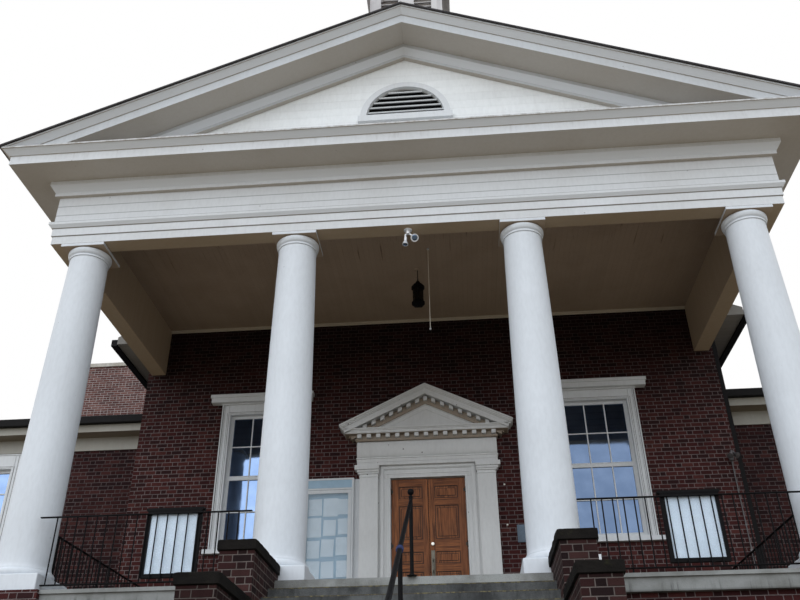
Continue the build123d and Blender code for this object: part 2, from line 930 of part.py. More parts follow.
# Annex: a taller brick box behind the left wing with a white coping
def make_annex():
    top = terrace_z + annex_top_rise
    x0 = -annex_half
    x1 = -main_half
    with BuildPart() as annex_walls:
        block(x0, x1, y_annex, y_rear, 0, top)
        block(x0 + wall_t, x1 - wall_t, y_annex + wall_t, y_rear - wall_t, 0, top, mode=Mode.SUBTRACT)
        for lift in annex_storeys:
            side_window_hole(annex_window_y, x0, x0 + wall_t, wing_head_drop, lift + wing_head_drop)
            block(annex_window_x - window_half, annex_window_x + window_half, y_rear - wall_t, y_rear,
                  terrace_z + window_sill_rise + lift + wing_head_drop,
                  terrace_z + window_head_rise + lift, mode=Mode.SUBTRACT)
    save(annex_walls, "annex_walls")
    with BuildPart() as annex_coping:
        block(x0 - coping_overhang, x1, y_annex - coping_overhang, y_rear + coping_overhang,
              top, top + coping_t)
        block(x0 + wall_t, x1 - wall_t, y_annex + wall_t, y_rear - wall_t, top, top + coping_t,
              mode=Mode.SUBTRACT)
    save(annex_coping, "annex_coping")
    with BuildPart() as annex_roof:
        block(x0 + wall_t, x1 - wall_t, y_annex + wall_t, y_rear - wall_t,
              top - annex_roof_drop - floor_t, top - annex_roof_drop)
    save(annex_roof, "annex_roof")


def make_floors():
    z0 = floor_z - floor_t
    inner = main_half - wall_t
    with BuildPart() as ground_floors:
        block(-inner, inner, y_wall + wall_t, y_rear - wall_t, z0, floor_z)
        for side in (-1, 1):
            block(side * main_half, side * (wing_half - wall_t), y_wing + wall_t, y_wing_rear - wall_t,
                  z0, floor_z)
        block(-annex_half + wall_t, -main_half - wall_t, y_annex + wall_t, y_rear - wall_t, z0, floor_z)
    save(ground_floors, "ground_floors")


# Windows: sash frames with casing, cap and sill, and one pane to each sash
def make_window_frame(drop):
    head = window_head_rise - drop
    glass_top = glass_top_rise - drop
    casing_top = head + wing_casing_head if drop else casing_top_rise
    meeting = (glass_bottom_rise + glass_top) / 2 if drop else meeting_rise
    with BuildPart() as frame:
        block(-casing_half, casing_half, -casing_t, 0, window_sill_rise, casing_top)
        block(-window_half, window_half, 0, sash_setback + 2 * sash_t, window_sill_rise, head)
        block(-glass_half, glass_half, -casing_t, sash_setback + 2 * sash_t, meeting + meeting_rail_h / 2,
              glass_top, mode=Mode.SUBTRACT)
        block(-glass_half, glass_half, -casing_t, sash_setback + 2 * sash_t, glass_bottom_rise,
              meeting - meeting_rail_h / 2, mode=Mode.SUBTRACT)
        block(-window_half + frame_side, window_half - frame_side, -casing_t, sash_setback,
              window_sill_rise + frame_end, head - frame_end, mode=Mode.SUBTRACT)
        if not drop:
            step_z = casing_top + window_cap_h * window_cap_share
            wide = window_cap_half + window_cap_step
            block(-window_cap_half, window_cap_half, -window_cap_t, 0, casing_top, step_z)
            block(-wide, wide, -window_cap_t - window_cap_step, 0, step_z, casing_top + window_cap_h)
        block(-sill_half, sill_half, -sill_t, 0, window_sill_rise - sill_h, window_sill_rise)
    return frame.part


def make_window_glass(drop):
    y = sash_setback + sash_t / 2
    glass_top = glass_top_rise - drop
    meeting = (glass_bottom_rise + glass_top) / 2 if drop else meeting_rise
    with BuildPart() as glass:
        block(-glass_half, glass_half, y, y + glass_t, meeting + meeting_rail_h / 2, glass_top)
        block(-glass_half, glass_half, y, y + glass_t, glass_bottom_rise, meeting - meeting_rail_h / 2)
    return glass.part


def front_place(x, y, lift=0):
    return Location((x, y, terrace_z + lift))


def rear_place(x, lift=0):
    return Location((x, y_rear, terrace_z + lift), (0, 0, 180))


def side_place(x, y, side, lift=0):
    return Location((x, y, terrace_z + lift), (0, 0, 90 * side))


def make_windows():
    tall = [front_place(-window_x, y_wall), front_place(window_x, y_wall)]
    tall += [rear_place(x) for x in rear_window_xs]
    tall += [side_place(main_half, y, 1) for y in main_side_window_ys]
    low = [front_place(side * wing_window_x, y_wing) for side in (-1, 1)]
    low += [side_place(side * wing_half, y, side) for side in (-1, 1) for y in wing_end_window_ys]
    low.append(Location((wing_window_x, y_wing_rear, terrace_z), (0, 0, 180)))
    for lift in annex_storeys:
        low.append(side_place(-annex_half, annex_window_y, -1, lift + wing_head_drop))
        low.append(rear_place(annex_window_x, lift + wing_head_drop))
    kinds = ((0, tall), (wing_head_drop, low))
    with BuildPart() as window_frames:
        for drop, places in kinds:
            frame = make_window_frame(drop)
            for place in places:
                add(frame.moved(place))
    save(window_frames, "window_frames")
    with BuildPart() as window_glass:
        for drop, places in kinds:
            glass = make_window_glass(drop)
            for place in places:
                add(glass.moved(place))
    save(window_glass, "window_glass")


# Entrance: jambs, stoop, leaves and a moulded surround with dentils
def make_door_frame():
    y0 = y_wall
    y1 = y_wall + wall_t
    stop_y = y_wall + leaf_setback + leaf_t + meeting_gap
    with BuildPart() as door_frame:
        block(-wall_door_half, wall_door_half, y0, y1, floor_z, terrace_z + wall_door_head_rise)
        block(-door_half, door_half, y0, y1, floor_z, door_head_z, mode=Mode.SUBTRACT)
        for side in (-1, 1):
            block(side * door_half, side * (door_half - door_stop_w), stop_y, stop_y + door_stop_t,
                  floor_z, door_head_z)
        block(-door_half, door_half, stop_y, stop_y + door_stop_t, door_head_z - door_stop_w, door_head_z)
    save(door_frame, "door_frame")
    with BuildPart() as entrance_stoop:
        front = y_wall - stoop_depth
        top = terrace_z + stoop_rise
        middle = terrace_z + stoop_rise / 2
        along_x([(y_wall, terrace_z), (y_wall, top), (front, top), (front, middle),
                 (front - stoop_step, middle), (front - stoop_step, terrace_z)], -stoop_half, stoop_half)
    save(entrance_stoop, "entrance_stoop")


leaf_w = door_half - jamb_gap - meeting_gap / 2
leaf_y = y_wall + leaf_setback
pin_x = door_half - jamb_gap
pin_y = leaf_y - hinge_r - knuckle_gap
hinge_rises = (floor_rise + hinge_floor_gap, middle_hinge_rise, door_head_rise - hinge_head_gap)


def make_leaf(side, name):
    inner = side * meeting_gap / 2
    outer = side * (meeting_gap / 2 + leaf_w)
    panel_in = inner + side * meeting_stile_w
    panel_out = outer - side * hinge_stile_w
    with BuildPart() as leaf:
        block(inner, outer, leaf_y, leaf_y + leaf_t, floor_z + leaf_floor_gap, door_head_z - leaf_head_gap)
        for low, high in panel_rises:
            for face_y, depth in ((leaf_y, panel_depth), (leaf_y + leaf_t, -panel_depth)):
                block(panel_in, panel_out, face_y, face_y + depth, terrace_z + low, terrace_z + high,
                      mode=Mode.SUBTRACT)
                setback = panel_field_setback if depth > 0 else -panel_field_setback
                block(panel_in + side * panel_field, panel_out - side * panel_field, face_y + setback,
                      face_y + depth, terrace_z + low + panel_field, terrace_z + high - panel_field)
    save(leaf, name)


def hinge_knuckle(x, y, z, length, r):
    """A moving knuckle with a hole for its pin."""
    knuckle = length * knuckle_share
    post(x, y, z - knuckle / 2, z + knuckle / 2, r)
    post(x, y, z - knuckle / 2, z + knuckle / 2, r * pin_share + pin_clearance, mode=Mode.SUBTRACT)


def hinge_pin(x, y, z, length, r):
    """A pin between two fixed knuckles."""
    fixed = length * (1 - knuckle_share) / 2 - knuckle_gap
    post(x, y, z - length / 2, z + length / 2, r * pin_share)
    for end in (z - length / 2, z + length / 2 - fixed):
        post(x, y, end, end + fixed, r)


def add_hinges(side):
    for rise in hinge_rises:
        z = terrace_z + rise
        half = hinge_len * knuckle_share / 2
        block(side * pin_x, side * (pin_x - hinge_plate_w), leaf_y - hinge_plate_t, leaf_y,
              z - half, z + half)
        hinge_knuckle(side * pin_x, pin_y, z, hinge_len, hinge_r)


def add_pin_straps(x0, x1, y0, z, length):
    """The straps that hold the two fixed knuckles of a hinge."""
    fixed = length * (1 - knuckle_share) / 2 - knuckle_gap
    for end in (z - length / 2, z + length / 2 - fixed):
        block(x0, x1, y0, y0 + hinge_plate_t, end, end + fixed)


def make_hinge_pins():
    with BuildPart() as hinge_pins:
        for side in (-1, 1):
            for rise in hinge_rises:
                z = terrace_z + rise
                hinge_pin(side * pin_x, pin_y, z, hinge_len, hinge_r)
                add_pin_straps(side * pin_x, side * door_half, pin_y - hinge_plate_t / 2, z, hinge_len)
        for z in notice_pin_zs:
            hinge_pin(notice_pin_x, notice_pin_y, z, notice_pin_len, notice_pin_r)
            add_pin_straps(notice_pin_x - hinge_plate_w, notice_pin_x - notice_pin_r / 2,
                           y_wall - notice_depth - hinge_plate_t, z, notice_pin_len)
    save(hinge_pins, "hinge_pins")


def add_handle(x):
    """A plate with an upright grip, and a round lock above it."""
    plate_low, plate_high = handle_plate_rises
    low, high = grip_rises
    half = grip_w / 2
    plate_y = leaf_y - handle_plate_t
    grip_y = leaf_y - grip_reach
    block(x - handle_plate_w / 2, x + handle_plate_w / 2, plate_y, leaf_y,
          terrace_z + plate_low, terrace_z + plate_high)
    block(x - half, x + half, grip_y, grip_y + grip_t, terrace_z + low, terrace_z + high)
    block(x - half, x + half, grip_y, plate_y, terrace_z + low, terrace_z + low + grip_w)
    block(x - half, x + half, grip_y, plate_y, terrace_z + high - grip_w, terrace_z + high)
    with Locations(Location((x, leaf_y - lock_t / 2, terrace_z + lock_rise), (90, 0, 0))):
        Cylinder(lock_r, lock_t)


def make_leaves():
    make_leaf(-1, "left_door")
    make_leaf(1, "right_door")
    with BuildPart() as left_hardware:
        add_hinges(-1)
    save(left_hardware, "left_door_hinges")
    with BuildPart() as right_hardware:
        add_hinges(1)
        add_handle(meeting_gap / 2 + handle_x)
    save(right_hardware, "right_door_hardware")


dentil_y = y_wall - pilaster_t - dentil_band_reach


def add_pulvin(low, high):
    """The bulging frieze between two heights."""
    flat_y = y_wall - pilaster_t + pulvin_setback
    with BuildSketch(Plane.YZ.offset(-surround_half)) as pulvin:
        with BuildLine():
            Polyline((flat_y, low), (y_wall, low), (y_wall, high), (flat_y, high))
            ThreePointArc((flat_y, high), (y_wall - pilaster_t - pulvin_bulge, (low + high) / 2),
                          (flat_y, low))
        make_face()
    extrude(pulvin.sketch, amount=2 * surround_half)


def make_surround():
    casing_top = terrace_z + door_casing_top_rise
    stoop_z = terrace_z + stoop_rise
    fascia_top = casing_top + surround_fascia_h
    pulvin_top = fascia_top + pulvin_h
    bed_top = pulvin_top + surround_bed_h
    dentil_top = bed_top + dentil_h
    corona_top = dentil_top + surround_corona_h
    cap_z = casing_top - pilaster_cap_h
    y = y_wall
    with BuildPart() as door_surround:
        block(-door_casing_half, door_casing_half, y - door_casing_t, y, stoop_z, casing_top)
        reveal = door_half + casing_reveal
        block(-reveal, reveal, y - door_casing_t, y - casing_inner_t, stoop_z, door_head_z + casing_reveal,
              mode=Mode.SUBTRACT)
        block(-door_half, door_half, y - door_casing_t, y, stoop_z, door_head_z, mode=Mode.SUBTRACT)
        for side in (-1, 1):
            block(side * door_casing_half, side * pilaster_in, y - casing_inner_t, y, stoop_z, casing_top)
            block(side * pilaster_in, side * pilaster_out, y - pilaster_t, y, stoop_z, cap_z)
            block(side * (pilaster_in - cap_lower_in), side * (pilaster_out + cap_lower_out),
                  y - pilaster_t - cap_lower_reach, y, cap_z, cap_z + pilaster_cap_h / 2)
            block(side * (pilaster_in - cap_upper_in), side * (pilaster_out + cap_upper_out),
                  y - pilaster_t - cap_upper_reach, y, cap_z + pilaster_cap_h / 2, casing_top)
            block(side * (pilaster_in - pilaster_base_in), side * (pilaster_out + pilaster_base_out),
                  y - pilaster_t - pilaster_base_out, y, stoop_z, stoop_z + pilaster_base_h)
        block(-surround_half, surround_half, y - pilaster_t, y, casing_top, fascia_top)
        add_pulvin(fascia_top, pulvin_top)
        bed_half = surround_half + surround_bed_over
        block(-bed_half, bed_half, y - pilaster_t - surround_bed_reach, y, pulvin_top, bed_top)
        block(-surround_half, surround_half, dentil_y, y, bed_top, dentil_top)
        span = 2 * surround_half - dentil_w
        with Locations((0, dentil_y - dentil_t / 2, bed_top + dentil_h / 2)):
            with GridLocations(span / (dentil_count - 1), 0, dentil_count, 1):
                Box(dentil_w, dentil_t, dentil_h)
        half = surround_corona_half
        block(-half, half, y - surround_corona_reach, y, dentil_top, corona_top)
        add(make_door_pediment(corona_top))
    save(door_surround, "door_surround")


def make_door_pediment(base):
    y = y_wall
    half = surround_corona_half
    apex = base + surround_tip_h + surround_pitch * half
    front = y - surround_corona_reach
    rake = [(y, apex - surround_rake_h), (y, apex), (front - surround_lip, apex),
            (front - surround_lip, apex - surround_rake_h * surround_lip_share),
            (front, apex - surround_rake_h * surround_step_share), (front, apex - surround_rake_h)]
    slots = dentil_count // 2
    drop = dentil_w * surround_pitch
    with BuildPart() as door_pediment:
        for side in (-1, 1):
            down_slope(rake, half, surround_pitch, side)
        along_y([(-half, base), (half, base), (half, base + surround_tip_h), (0, apex),
                 (-half, base + surround_tip_h)], dentil_y, y)
        for side in (-1, 1):
            for index in range(slots):
                x = side * (index + rake_dentil_start) * half * rake_dentil_span / slots
                top = apex - surround_rake_h - surround_pitch * abs(x) + drop
                block(x - dentil_w / 2, x + dentil_w / 2, dentil_y - dentil_t, dentil_y,
                      max(top - dentil_h - drop, base), max(top, base + rake_dentil_least))
        split(bisect_by=Plane.XY.offset(base), keep=Keep.TOP)
    return door_pediment.part


# Notice case on the wall, with a glazed door, and a plain plaque
notice_pin_x = notice_x0 + notice_wall + notice_gap
notice_pin_y = y_wall - notice_depth - notice_pin_r - knuckle_gap
notice_pin_zs = (terrace_z + notice_bottom_rise + notice_pin_inset,
                 terrace_z + notice_door_top_rise - notice_pin_inset)


def make_notice_case():
    z0 = terrace_z + notice_bottom_rise
    z1 = terrace_z + notice_top_rise
    door_z1 = terrace_z + notice_door_top_rise
    y0 = y_wall - notice_depth
    x0 = notice_x0 + notice_wall
    x1 = notice_x1 - notice_wall
    with BuildPart() as notice_case:
        block(notice_x0, notice_x1, y0, y_wall, z0, z1)
        block(x0, x1, y0, y_wall - notice_back, z0 + notice_wall, door_z1, mode=Mode.SUBTRACT)
        block(x0, x1, y0, y0 + notice_title_t, door_z1 + notice_wall, z1 - notice_wall, mode=Mode.SUBTRACT)
    save(notice_case, "notice_case")
    dx0 = notice_pin_x
    dx1 = x1 - notice_gap
    dz0 = z0 + notice_wall + notice_gap
    dz1 = door_z1 - notice_gap
    latch_z = terrace_z + notice_latch_rise
    with BuildPart() as notice_door:
        block(dx0, dx1, y0, y0 + notice_door_t, dz0, dz1)
        block(dx0 + notice_rail, dx1 - notice_rail, y0, y0 + notice_door_t,
              dz0 + notice_rail, dz1 - notice_rail, mode=Mode.SUBTRACT)
        for z in notice_pin_zs:
            half = notice_pin_len * knuckle_share / 2
            block(dx0, dx0 + hinge_plate_w, y0 - hinge_plate_t, y0, z - half, z + half)
            hinge_knuckle(notice_pin_x, notice_pin_y, z, notice_pin_len, notice_pin_r)
        block(dx1 - notice_latch_out, dx1 - notice_latch_in, y0 - notice_latch_t, y0,
              latch_z - notice_latch_h / 2, latch_z + notice_latch_h / 2)
    save(notice_door, "notice_door")
    with BuildPart() as notice_glass:
        glass_y = y0 + notice_glass_setback
        block(dx0 + notice_rail, dx1 - notice_rail, glass_y, glass_y + notice_glass_t,
              dz0 + notice_rail, dz1 - notice_rail)
    save(notice_glass, "notice_glass")
    with BuildPart() as plaque:
        block(plaque_x - plaque_w / 2, plaque_x + plaque_w / 2, y_wall - plaque_t, y_wall,
              terrace_z + plaque_rise - plaque_w / 2, terrace_z + plaque_rise + plaque_w / 2)
    save(plaque, "plaque")


# Iron railings between the columns and back to the wall
def railing_x(x0, x1, y):
    """A panel of square balusters along X, with a post at each end."""
    z0 = terrace_z + rail_foot
    z1 = terrace_z + rail_h
    block(x0, x1, y - rail_w / 2, y + rail_w / 2, z1 - rail_t, z1)
    block(x0, x1, y - rail_w / 2, y + rail_w / 2, z0, z0 + rail_t)
    count = int((x1 - x0) / baluster_pitch)
    pitch_x = (x1 - x0) / count
    with Locations(((x0 + x1) / 2, y, (z0 + z1) / 2)):
        with GridLocations(pitch_x, 0, count - 1, 1):
            Box(baluster_w, baluster_w, z1 - z0 - rail_t)
    for x in (x0 + post_w / 2, x1 - post_w / 2):
        block(x - post_w / 2, x + post_w / 2, y - post_w / 2, y + post_w / 2, terrace_z, z1 + post_over)


def railing_y(x, y0, y1):
    """A panel of square balusters along Y, with a post at the column end."""
    z0 = terrace_z + rail_foot
    z1 = terrace_z + rail_h
    block(x - rail_w / 2, x + rail_w / 2, y0, y1, z1 - rail_t, z1)
    block(x - rail_w / 2, x + rail_w / 2, y0, y1, z0, z0 + rail_t)
    count = int((y1 - y0) / baluster_pitch)
    pitch_y = (y1 - y0) / count
    with Locations((x, (y0 + y1) / 2, (z0 + z1) / 2)):
        with GridLocations(0, pitch_y, 1, count - 1):
            Box(baluster_w, baluster_w, z1 - z0 - rail_t)
    for y in (y0 + post_w / 2, (y0 + y1) / 2):
        block(x - post_w / 2, x + post_w / 2, y - post_w / 2, y + post_w / 2, terrace_z, z1 + post_over)


def make_railings():
    with BuildPart() as porch_railings:
        for side in (-1, 1):
            x0, x1 = sorted((side * front_rail_x0, side * front_rail_x1))
            railing_x(x0, x1, y_col + front_rail_y)
            railing_y(side * side_rail_x, y_col + plinth_w / 2 + side_rail_gap, y_wall)
    save(porch_railings, "porch_railings")


def make_display_cases():
    z0 = terrace_z + case_foot
    z1 = z0 + case_h
    y0 = y_col + front_rail_y + rail_w / 2
    with BuildPart() as display_cases:
        for x in case_xs:
            block(x - case_w / 2, x + case_w / 2, y0, y0 + case_depth, z0, z1)
            block(x - case_w / 2 + case_frame, x + case_w / 2 - case_frame, y0, y0 + case_depth / 2,
                  z0 + case_frame, z1 - case_frame, mode=Mode.SUBTRACT)
            block(x - case_w / 2 - case_hood_over, x + case_w / 2 + case_hood_over, y0,
                  y0 + case_depth + case_hood_over, z1, z1 + case_hood_h)
    save(display_cases, "display_cases")


# Handrail down the middle of the stair
def make_handrail():
    slope = riser / tread
    nose = y_col - landing_reach
    y_top = y_col + handrail_top_y
    y_low = nose - handrail_bottom_steps * tread + tread / 2
    z_top = terrace_z + handrail_h
    z_low = z_top - slope * (y_top - y_low)
    length = hypot(y_top - y_low, z_top - z_low)
    rail_plane = Plane(origin=(0, y_top, z_top), z_dir=(0, y_low - y_top, z_low - z_top))
    ball_z = z_top + ball_neck
    with BuildPart() as stair_handrail:
        post(0, y_top, terrace_z, ball_z, handrail_post_r)
        knob(0, y_top, ball_z + ball_r * ball_seat, ball_r)
        with BuildSketch(rail_plane):
            Circle(handrail_r)
        extrude(amount=length)
        for step in (handrail_middle_steps, handrail_bottom_steps - 1):
            y = nose - step * tread + tread / 2
            post(0, y, terrace_z - step * riser, z_top - slope * (y_top - y), handrail_post_r)
    save(stair_handrail, "stair_handrail")


# Hanging lantern, twin floodlight, wall light and pull cord
def six_sided(y, z0, r0, z1, r1):
    """A six-sided taper between two heights."""
    sections = []
    for z, r in ((z0, r0), (z1, r1)):
        with BuildSketch(Plane.XY.offset(z)) as section:
            with Locations((0, y)):
                RegularPolygon(r, 6)
        sections.append(section.sketch)
    loft(sections)


def make_lantern():
    y = y_col + lantern_y
    cap_top = ceiling_z - lantern_drop
    body_top = cap_top - lantern_cap_h
    with BuildPart() as lantern:
        post(0, y, ceiling_z - canopy_t, ceiling_z, canopy_r)
        post(0, y, cap_top, ceiling_z - canopy_t, lantern_rod_r)
        six_sided(y, body_top, lantern_r * lantern_brim, cap_top, lantern_r * lantern_peak)
        six_sided(y, body_top - lantern_h, lantern_r * lantern_foot, body_top, lantern_r)
    save(lantern, "lantern")


def make_floodlights():
    y = (y_face + y_beam_back) / 2
    low = z_beam - flood_drop
    stem = flood_stem_w / 2
    conduit_low, conduit_high = conduit_rises
    light_x = main_half - wall_light_in
    light_z = terrace_z + wall_light_rise
    with BuildPart() as floodlights:
        post(flood_x, y, z_beam - canopy_t, z_beam, canopy_r)
        block(flood_x - stem, flood_x + stem, y - stem, y + stem, low, z_beam - canopy_t)
        block(flood_x - flood_arm, flood_x + flood_arm, y - flood_arm_t / 2, y + flood_arm_t / 2,
              low, low + flood_arm_t)
        for side in (-1, 1):
            place = (flood_x + side * flood_arm, y - flood_ahead, low - flood_ahead)
            with Locations(Location(place, (flood_tilt, side * flood_splay, 0))):
                Cylinder(flood_head_r, flood_head_len)
        block(light_x - conduit_w / 2, light_x + conduit_w / 2, y_wall - conduit_t, y_wall,
              terrace_z + conduit_low, terrace_z + conduit_high)
        block(light_x - wall_light_w / 2, light_x + wall_light_w / 2, y_wall - wall_light_reach,
              y_wall - conduit_t, light_z, light_z + wall_light_h)
    save(floodlights, "floodlights")


def make_cord():
    x = cord_x
    y = y_col + cord_y
    eye_z = ceiling_z - cord_eye_h
    with BuildPart() as cord_eye:
        post(x, y, eye_z, ceiling_z, cord_eye_r)
    save(cord_eye, "cord_eye")
    with BuildPart() as pull_cord:
        post(x, y, eye_z - cord_len, eye_z, cord_r)
    save(pull_cord, "pull_cord")


# Cupola: square base astride the ridge, louvred belfry, cornice and spire
def square_block(y, half, z0, z1):
    """A square block round the middle of the cupola."""
    block(-half, half, y - half, y + half, z0, z1)


def square_taper(y, z0, half_0, z1, half_1):
    """A square taper round the middle of the cupola."""
    sections = []
    for z, half in ((z0, half_0), (z1, half_1)):
        with BuildSketch(Plane.XY.offset(z)) as section:
            with Locations((0, y)):
                Rectangle(2 * half, 2 * half)
        sections.append(section.sketch)
    loft(sections)


def make_cupola():
    y = y_col + cupola_y
    base_top = terrace_z + cupola_base_top_rise
    band_top = base_top + cupola_band_h
    belfry_top = band_top + belfry_h
    cornice_top = belfry_top + cupola_cornice_h
    h = cupola_half
    roof_top = ridge_z + shingle_t
    foot = roof_top - pitch * h
    with BuildPart() as cupola_base:
        along_y([(-h, foot), (0, roof_top), (h, foot), (h, base_top), (-h, base_top)], y - h, y + h)
        square_block(y, h + cupola_band_over, base_top, band_top)
    save(cupola_base, "cupola_base")
    b = belfry_half
    z0 = band_top + belfry_rail_h
    z1 = belfry_top - belfry_rail_h
    opening = b - belfry_post - belfry_mullion / 2
    middle = belfry_mullion / 2 + opening / 2
    with BuildPart() as belfry:
        square_block(y, b, band_top, belfry_top)
        for side in (-1, 1):
            for place in (-middle, middle):
                x0, x1 = place - opening / 2, place + opening / 2
                outer, inner = side * b, side * (b - belfry_recess)
                block(x0, x1, y + outer, y + inner, z0, z1, mode=Mode.SUBTRACT)
                block(outer, inner, y + x0, y + x1, z0, z1, mode=Mode.SUBTRACT)
        square_block(y, b + cupola_bed_over, belfry_top, belfry_top + cupola_cornice_h / 2)
        square_block(y, b + cupola_cornice_over, belfry_top + cupola_cornice_h / 2, cornice_top)
    save(belfry, "belfry")
    spire_half = b + cupola_cornice_over - spire_inset
    tip = cornice_top + spire_h
    waist = cornice_top + spire_waist_h
    with BuildPart() as cupola_roof:
        square_taper(y, cornice_top, spire_half, waist, spire_waist_half)
        square_taper(y, waist, spire_waist_half, tip, spire_tip_w / 2)
        post(0, y, tip, tip + finial_h, finial_rod_r)
        knob(0, y, tip + finial_r, finial_r)
    save(cupola_roof, "cupola_roof")


make_podium()
make_terrace()
make_steps()
make_cheeks()
make_columns()
make_entablature()
make_ceiling()
make_pediment()
make_rakes()
make_portico_roof()
make_main_walls()
make_main_roof()
make_eaves()
make_gutters()
make_wings()
make_wing_cornices()
make_wing_roofs()
make_annex()
make_floors()
make_windows()
make_door_frame()
make_leaves()
make_surround()
make_notice_case()
make_hinge_pins()
make_railings()
make_display_cases()
make_handrail()
make_lantern()
make_floodlights()
make_cord()
make_cupola()
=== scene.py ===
# Courthouse with a temple front: finishes, small fittings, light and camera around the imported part.
import math
from functools import cached_property

import bpy
from mathutils import Matrix, Vector
from mathutils.noise import noise as noise_of


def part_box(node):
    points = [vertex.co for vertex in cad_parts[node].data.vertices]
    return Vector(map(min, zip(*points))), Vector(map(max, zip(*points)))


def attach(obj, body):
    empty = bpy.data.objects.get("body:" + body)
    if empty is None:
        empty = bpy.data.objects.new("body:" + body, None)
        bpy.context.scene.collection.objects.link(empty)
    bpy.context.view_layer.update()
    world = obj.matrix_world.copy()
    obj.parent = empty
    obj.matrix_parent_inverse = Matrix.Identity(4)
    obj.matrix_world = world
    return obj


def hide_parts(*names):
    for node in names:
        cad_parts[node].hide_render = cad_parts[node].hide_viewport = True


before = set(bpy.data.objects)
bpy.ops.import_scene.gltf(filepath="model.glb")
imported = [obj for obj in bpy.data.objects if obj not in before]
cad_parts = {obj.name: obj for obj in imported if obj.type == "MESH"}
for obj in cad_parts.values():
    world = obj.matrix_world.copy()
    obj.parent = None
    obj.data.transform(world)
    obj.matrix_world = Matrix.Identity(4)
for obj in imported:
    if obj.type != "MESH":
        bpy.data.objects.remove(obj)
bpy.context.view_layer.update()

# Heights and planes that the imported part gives
terrace_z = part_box("columns")[0].z
y_col = (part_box("columns")[0].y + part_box("columns")[1].y) / 2
y_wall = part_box("front_walls")[0].y
ceiling_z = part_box("portico_ceiling")[0].z
beam_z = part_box("entablature_front")[0].z
cornice_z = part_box("tympanum")[0].z
ridge_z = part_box("raking_cornice")[1].z
roof_pitch = 5 / 12
beam_inner = 5.13
tread, riser, nose_y = 0.305, 0.152, y_col - 0.58
inner_column_x = 1.682


# ---- Node helpers
class Term:
    """A node's output that arithmetic can be written with."""

    def __init__(self, graph, socket):
        self.graph, self.socket = graph, socket

    def __add__(self, other):
        return self.graph.calc("ADD", self, other)

    __radd__ = __add__

    def __sub__(self, other):
        return self.graph.calc("SUBTRACT", self, other)

    def __mul__(self, other):
        return self.graph.calc("MULTIPLY", self, other)

    def __truediv__(self, other):
        return self.graph.calc("DIVIDE", self, other)

    def __mod__(self, other):
        return self.graph.calc("FLOORED_MODULO", self, other)

    def __gt__(self, other):
        return self.graph.calc("GREATER_THAN", self, other)

    def __lt__(self, other):
        return self.graph.calc("LESS_THAN", self, other)

    def __rsub__(self, other):
        return self.graph.calc("SUBTRACT", other, self)

    def __abs__(self):
        return self.graph.calc("ABSOLUTE", self)

    def __floor__(self):
        return self.graph.calc("FLOOR", self)


class Graph:
    """One node tree, with a short call for each kind of node used here."""

    def __init__(self, tree):
        self.tree = tree

    @cached_property
    def place(self):
        return self.add("TexCoord", out="Object")

    @cached_property
    def xyz(self):
        return self.split(self.place)

    @cached_property
    def facing(self):
        return self.split(self.add("TexCoord", out="Normal"))

    def wire(self, value, socket):
        if isinstance(value, Term):
            self.tree.links.new(value.socket, socket)
        else:
            socket.default_value = value

    def node(self, kind, sockets=None, **settings):
        made = self.tree.nodes.new(kind)
        for name, value in settings.items():
            setattr(made, name, value)
        for name, value in (sockets or {}).items():
            self.wire(value, made.inputs[name])
        return made

    def add(self, kind, sockets=None, out=0, **settings):
        return Term(self, self.node("ShaderNode" + kind, sockets, **settings).outputs[out])

    def calc(self, operation, *values):
        return self.add("Math", dict(enumerate(values)), operation=operation)

    def least(self, a, b):
        return self.calc("MINIMUM", a, b)

    def most(self, a, b):
        return self.calc("MAXIMUM", a, b)

    def step(self, value, low, high, out_low=0.0, out_high=1.0):
        """A smooth step of a value from one number to another."""
        return self.add("MapRange", dict(enumerate((value, low, high, out_low, out_high))),
                        interpolation_type="SMOOTHSTEP")

    def blend(self, share, first, second):
        return self.add("Mix", {0: share, 2: first, 3: second}, data_type="FLOAT")

    def mixed(self, share, first, second):
        return self.add("Mix", {0: share, 6: first, 7: second}, 2, data_type="RGBA")

    def shaded(self, colour, share, amount):
        """A colour made darker where a mask is high."""
        return self.add("Mix", {0: share, 6: colour, 7: (amount, amount, amount, 1)}, 2, data_type="RGBA",
                        blend_type="MULTIPLY")

    def vector(self, x, y):
        return self.add("CombineXYZ", {0: x, 1: y})

    def split(self, value):
        return [Term(self, socket) for socket in self.node("ShaderNodeSeparateXYZ", {0: value}).outputs]

    def noise(self, scale, detail=3.0, roughness=0.55, stretch=None):
        place = self.add("Mapping", {"Vector": self.place, "Scale": stretch}) if stretch else self.place
        return self.add("TexNoise", {"Vector": place, "Scale": scale, "Detail": detail, "Roughness": roughness})

    def chance(self, x, y=None):
        """A random number for each whole number or pair of them."""
        if y is None:
            return self.add("TexWhiteNoise", {"W": x}, noise_dimensions="1D")
        return self.add("TexWhiteNoise", {"Vector": self.vector(x, y)}, noise_dimensions="2D")

    def use(self, group, sockets=None):
        made = self.node("ShaderNodeGroup", node_tree=group)
        for name, value in (sockets or {}).items():
            self.wire(value, made.inputs[name])
        return {socket.name: Term(self, socket) for socket in made.outputs}

    def finish(self, colour, roughness, relief=None, depth=0.0, strength=1.0, plain=None):
        """Give the shader its colour, roughness and bump, and its plain constants."""
        self.wire(colour, self.shader.inputs["Base Color"])
        self.wire(roughness, self.shader.inputs["Roughness"])
        for name, value in (plain or {}).items():
            self.shader.inputs[name].default_value = value
        if relief:
            self.wire(self.add("Bump", {"Height": relief, "Strength": strength, "Distance": depth}),
                      self.shader.inputs["Normal"])
        return self.material


def new_material(name):
    made = bpy.data.materials.new(name)
    made.use_nodes = True
    g = Graph(made.node_tree)
    g.material, g.shader = made, made.node_tree.nodes["Principled BSDF"]
    return g


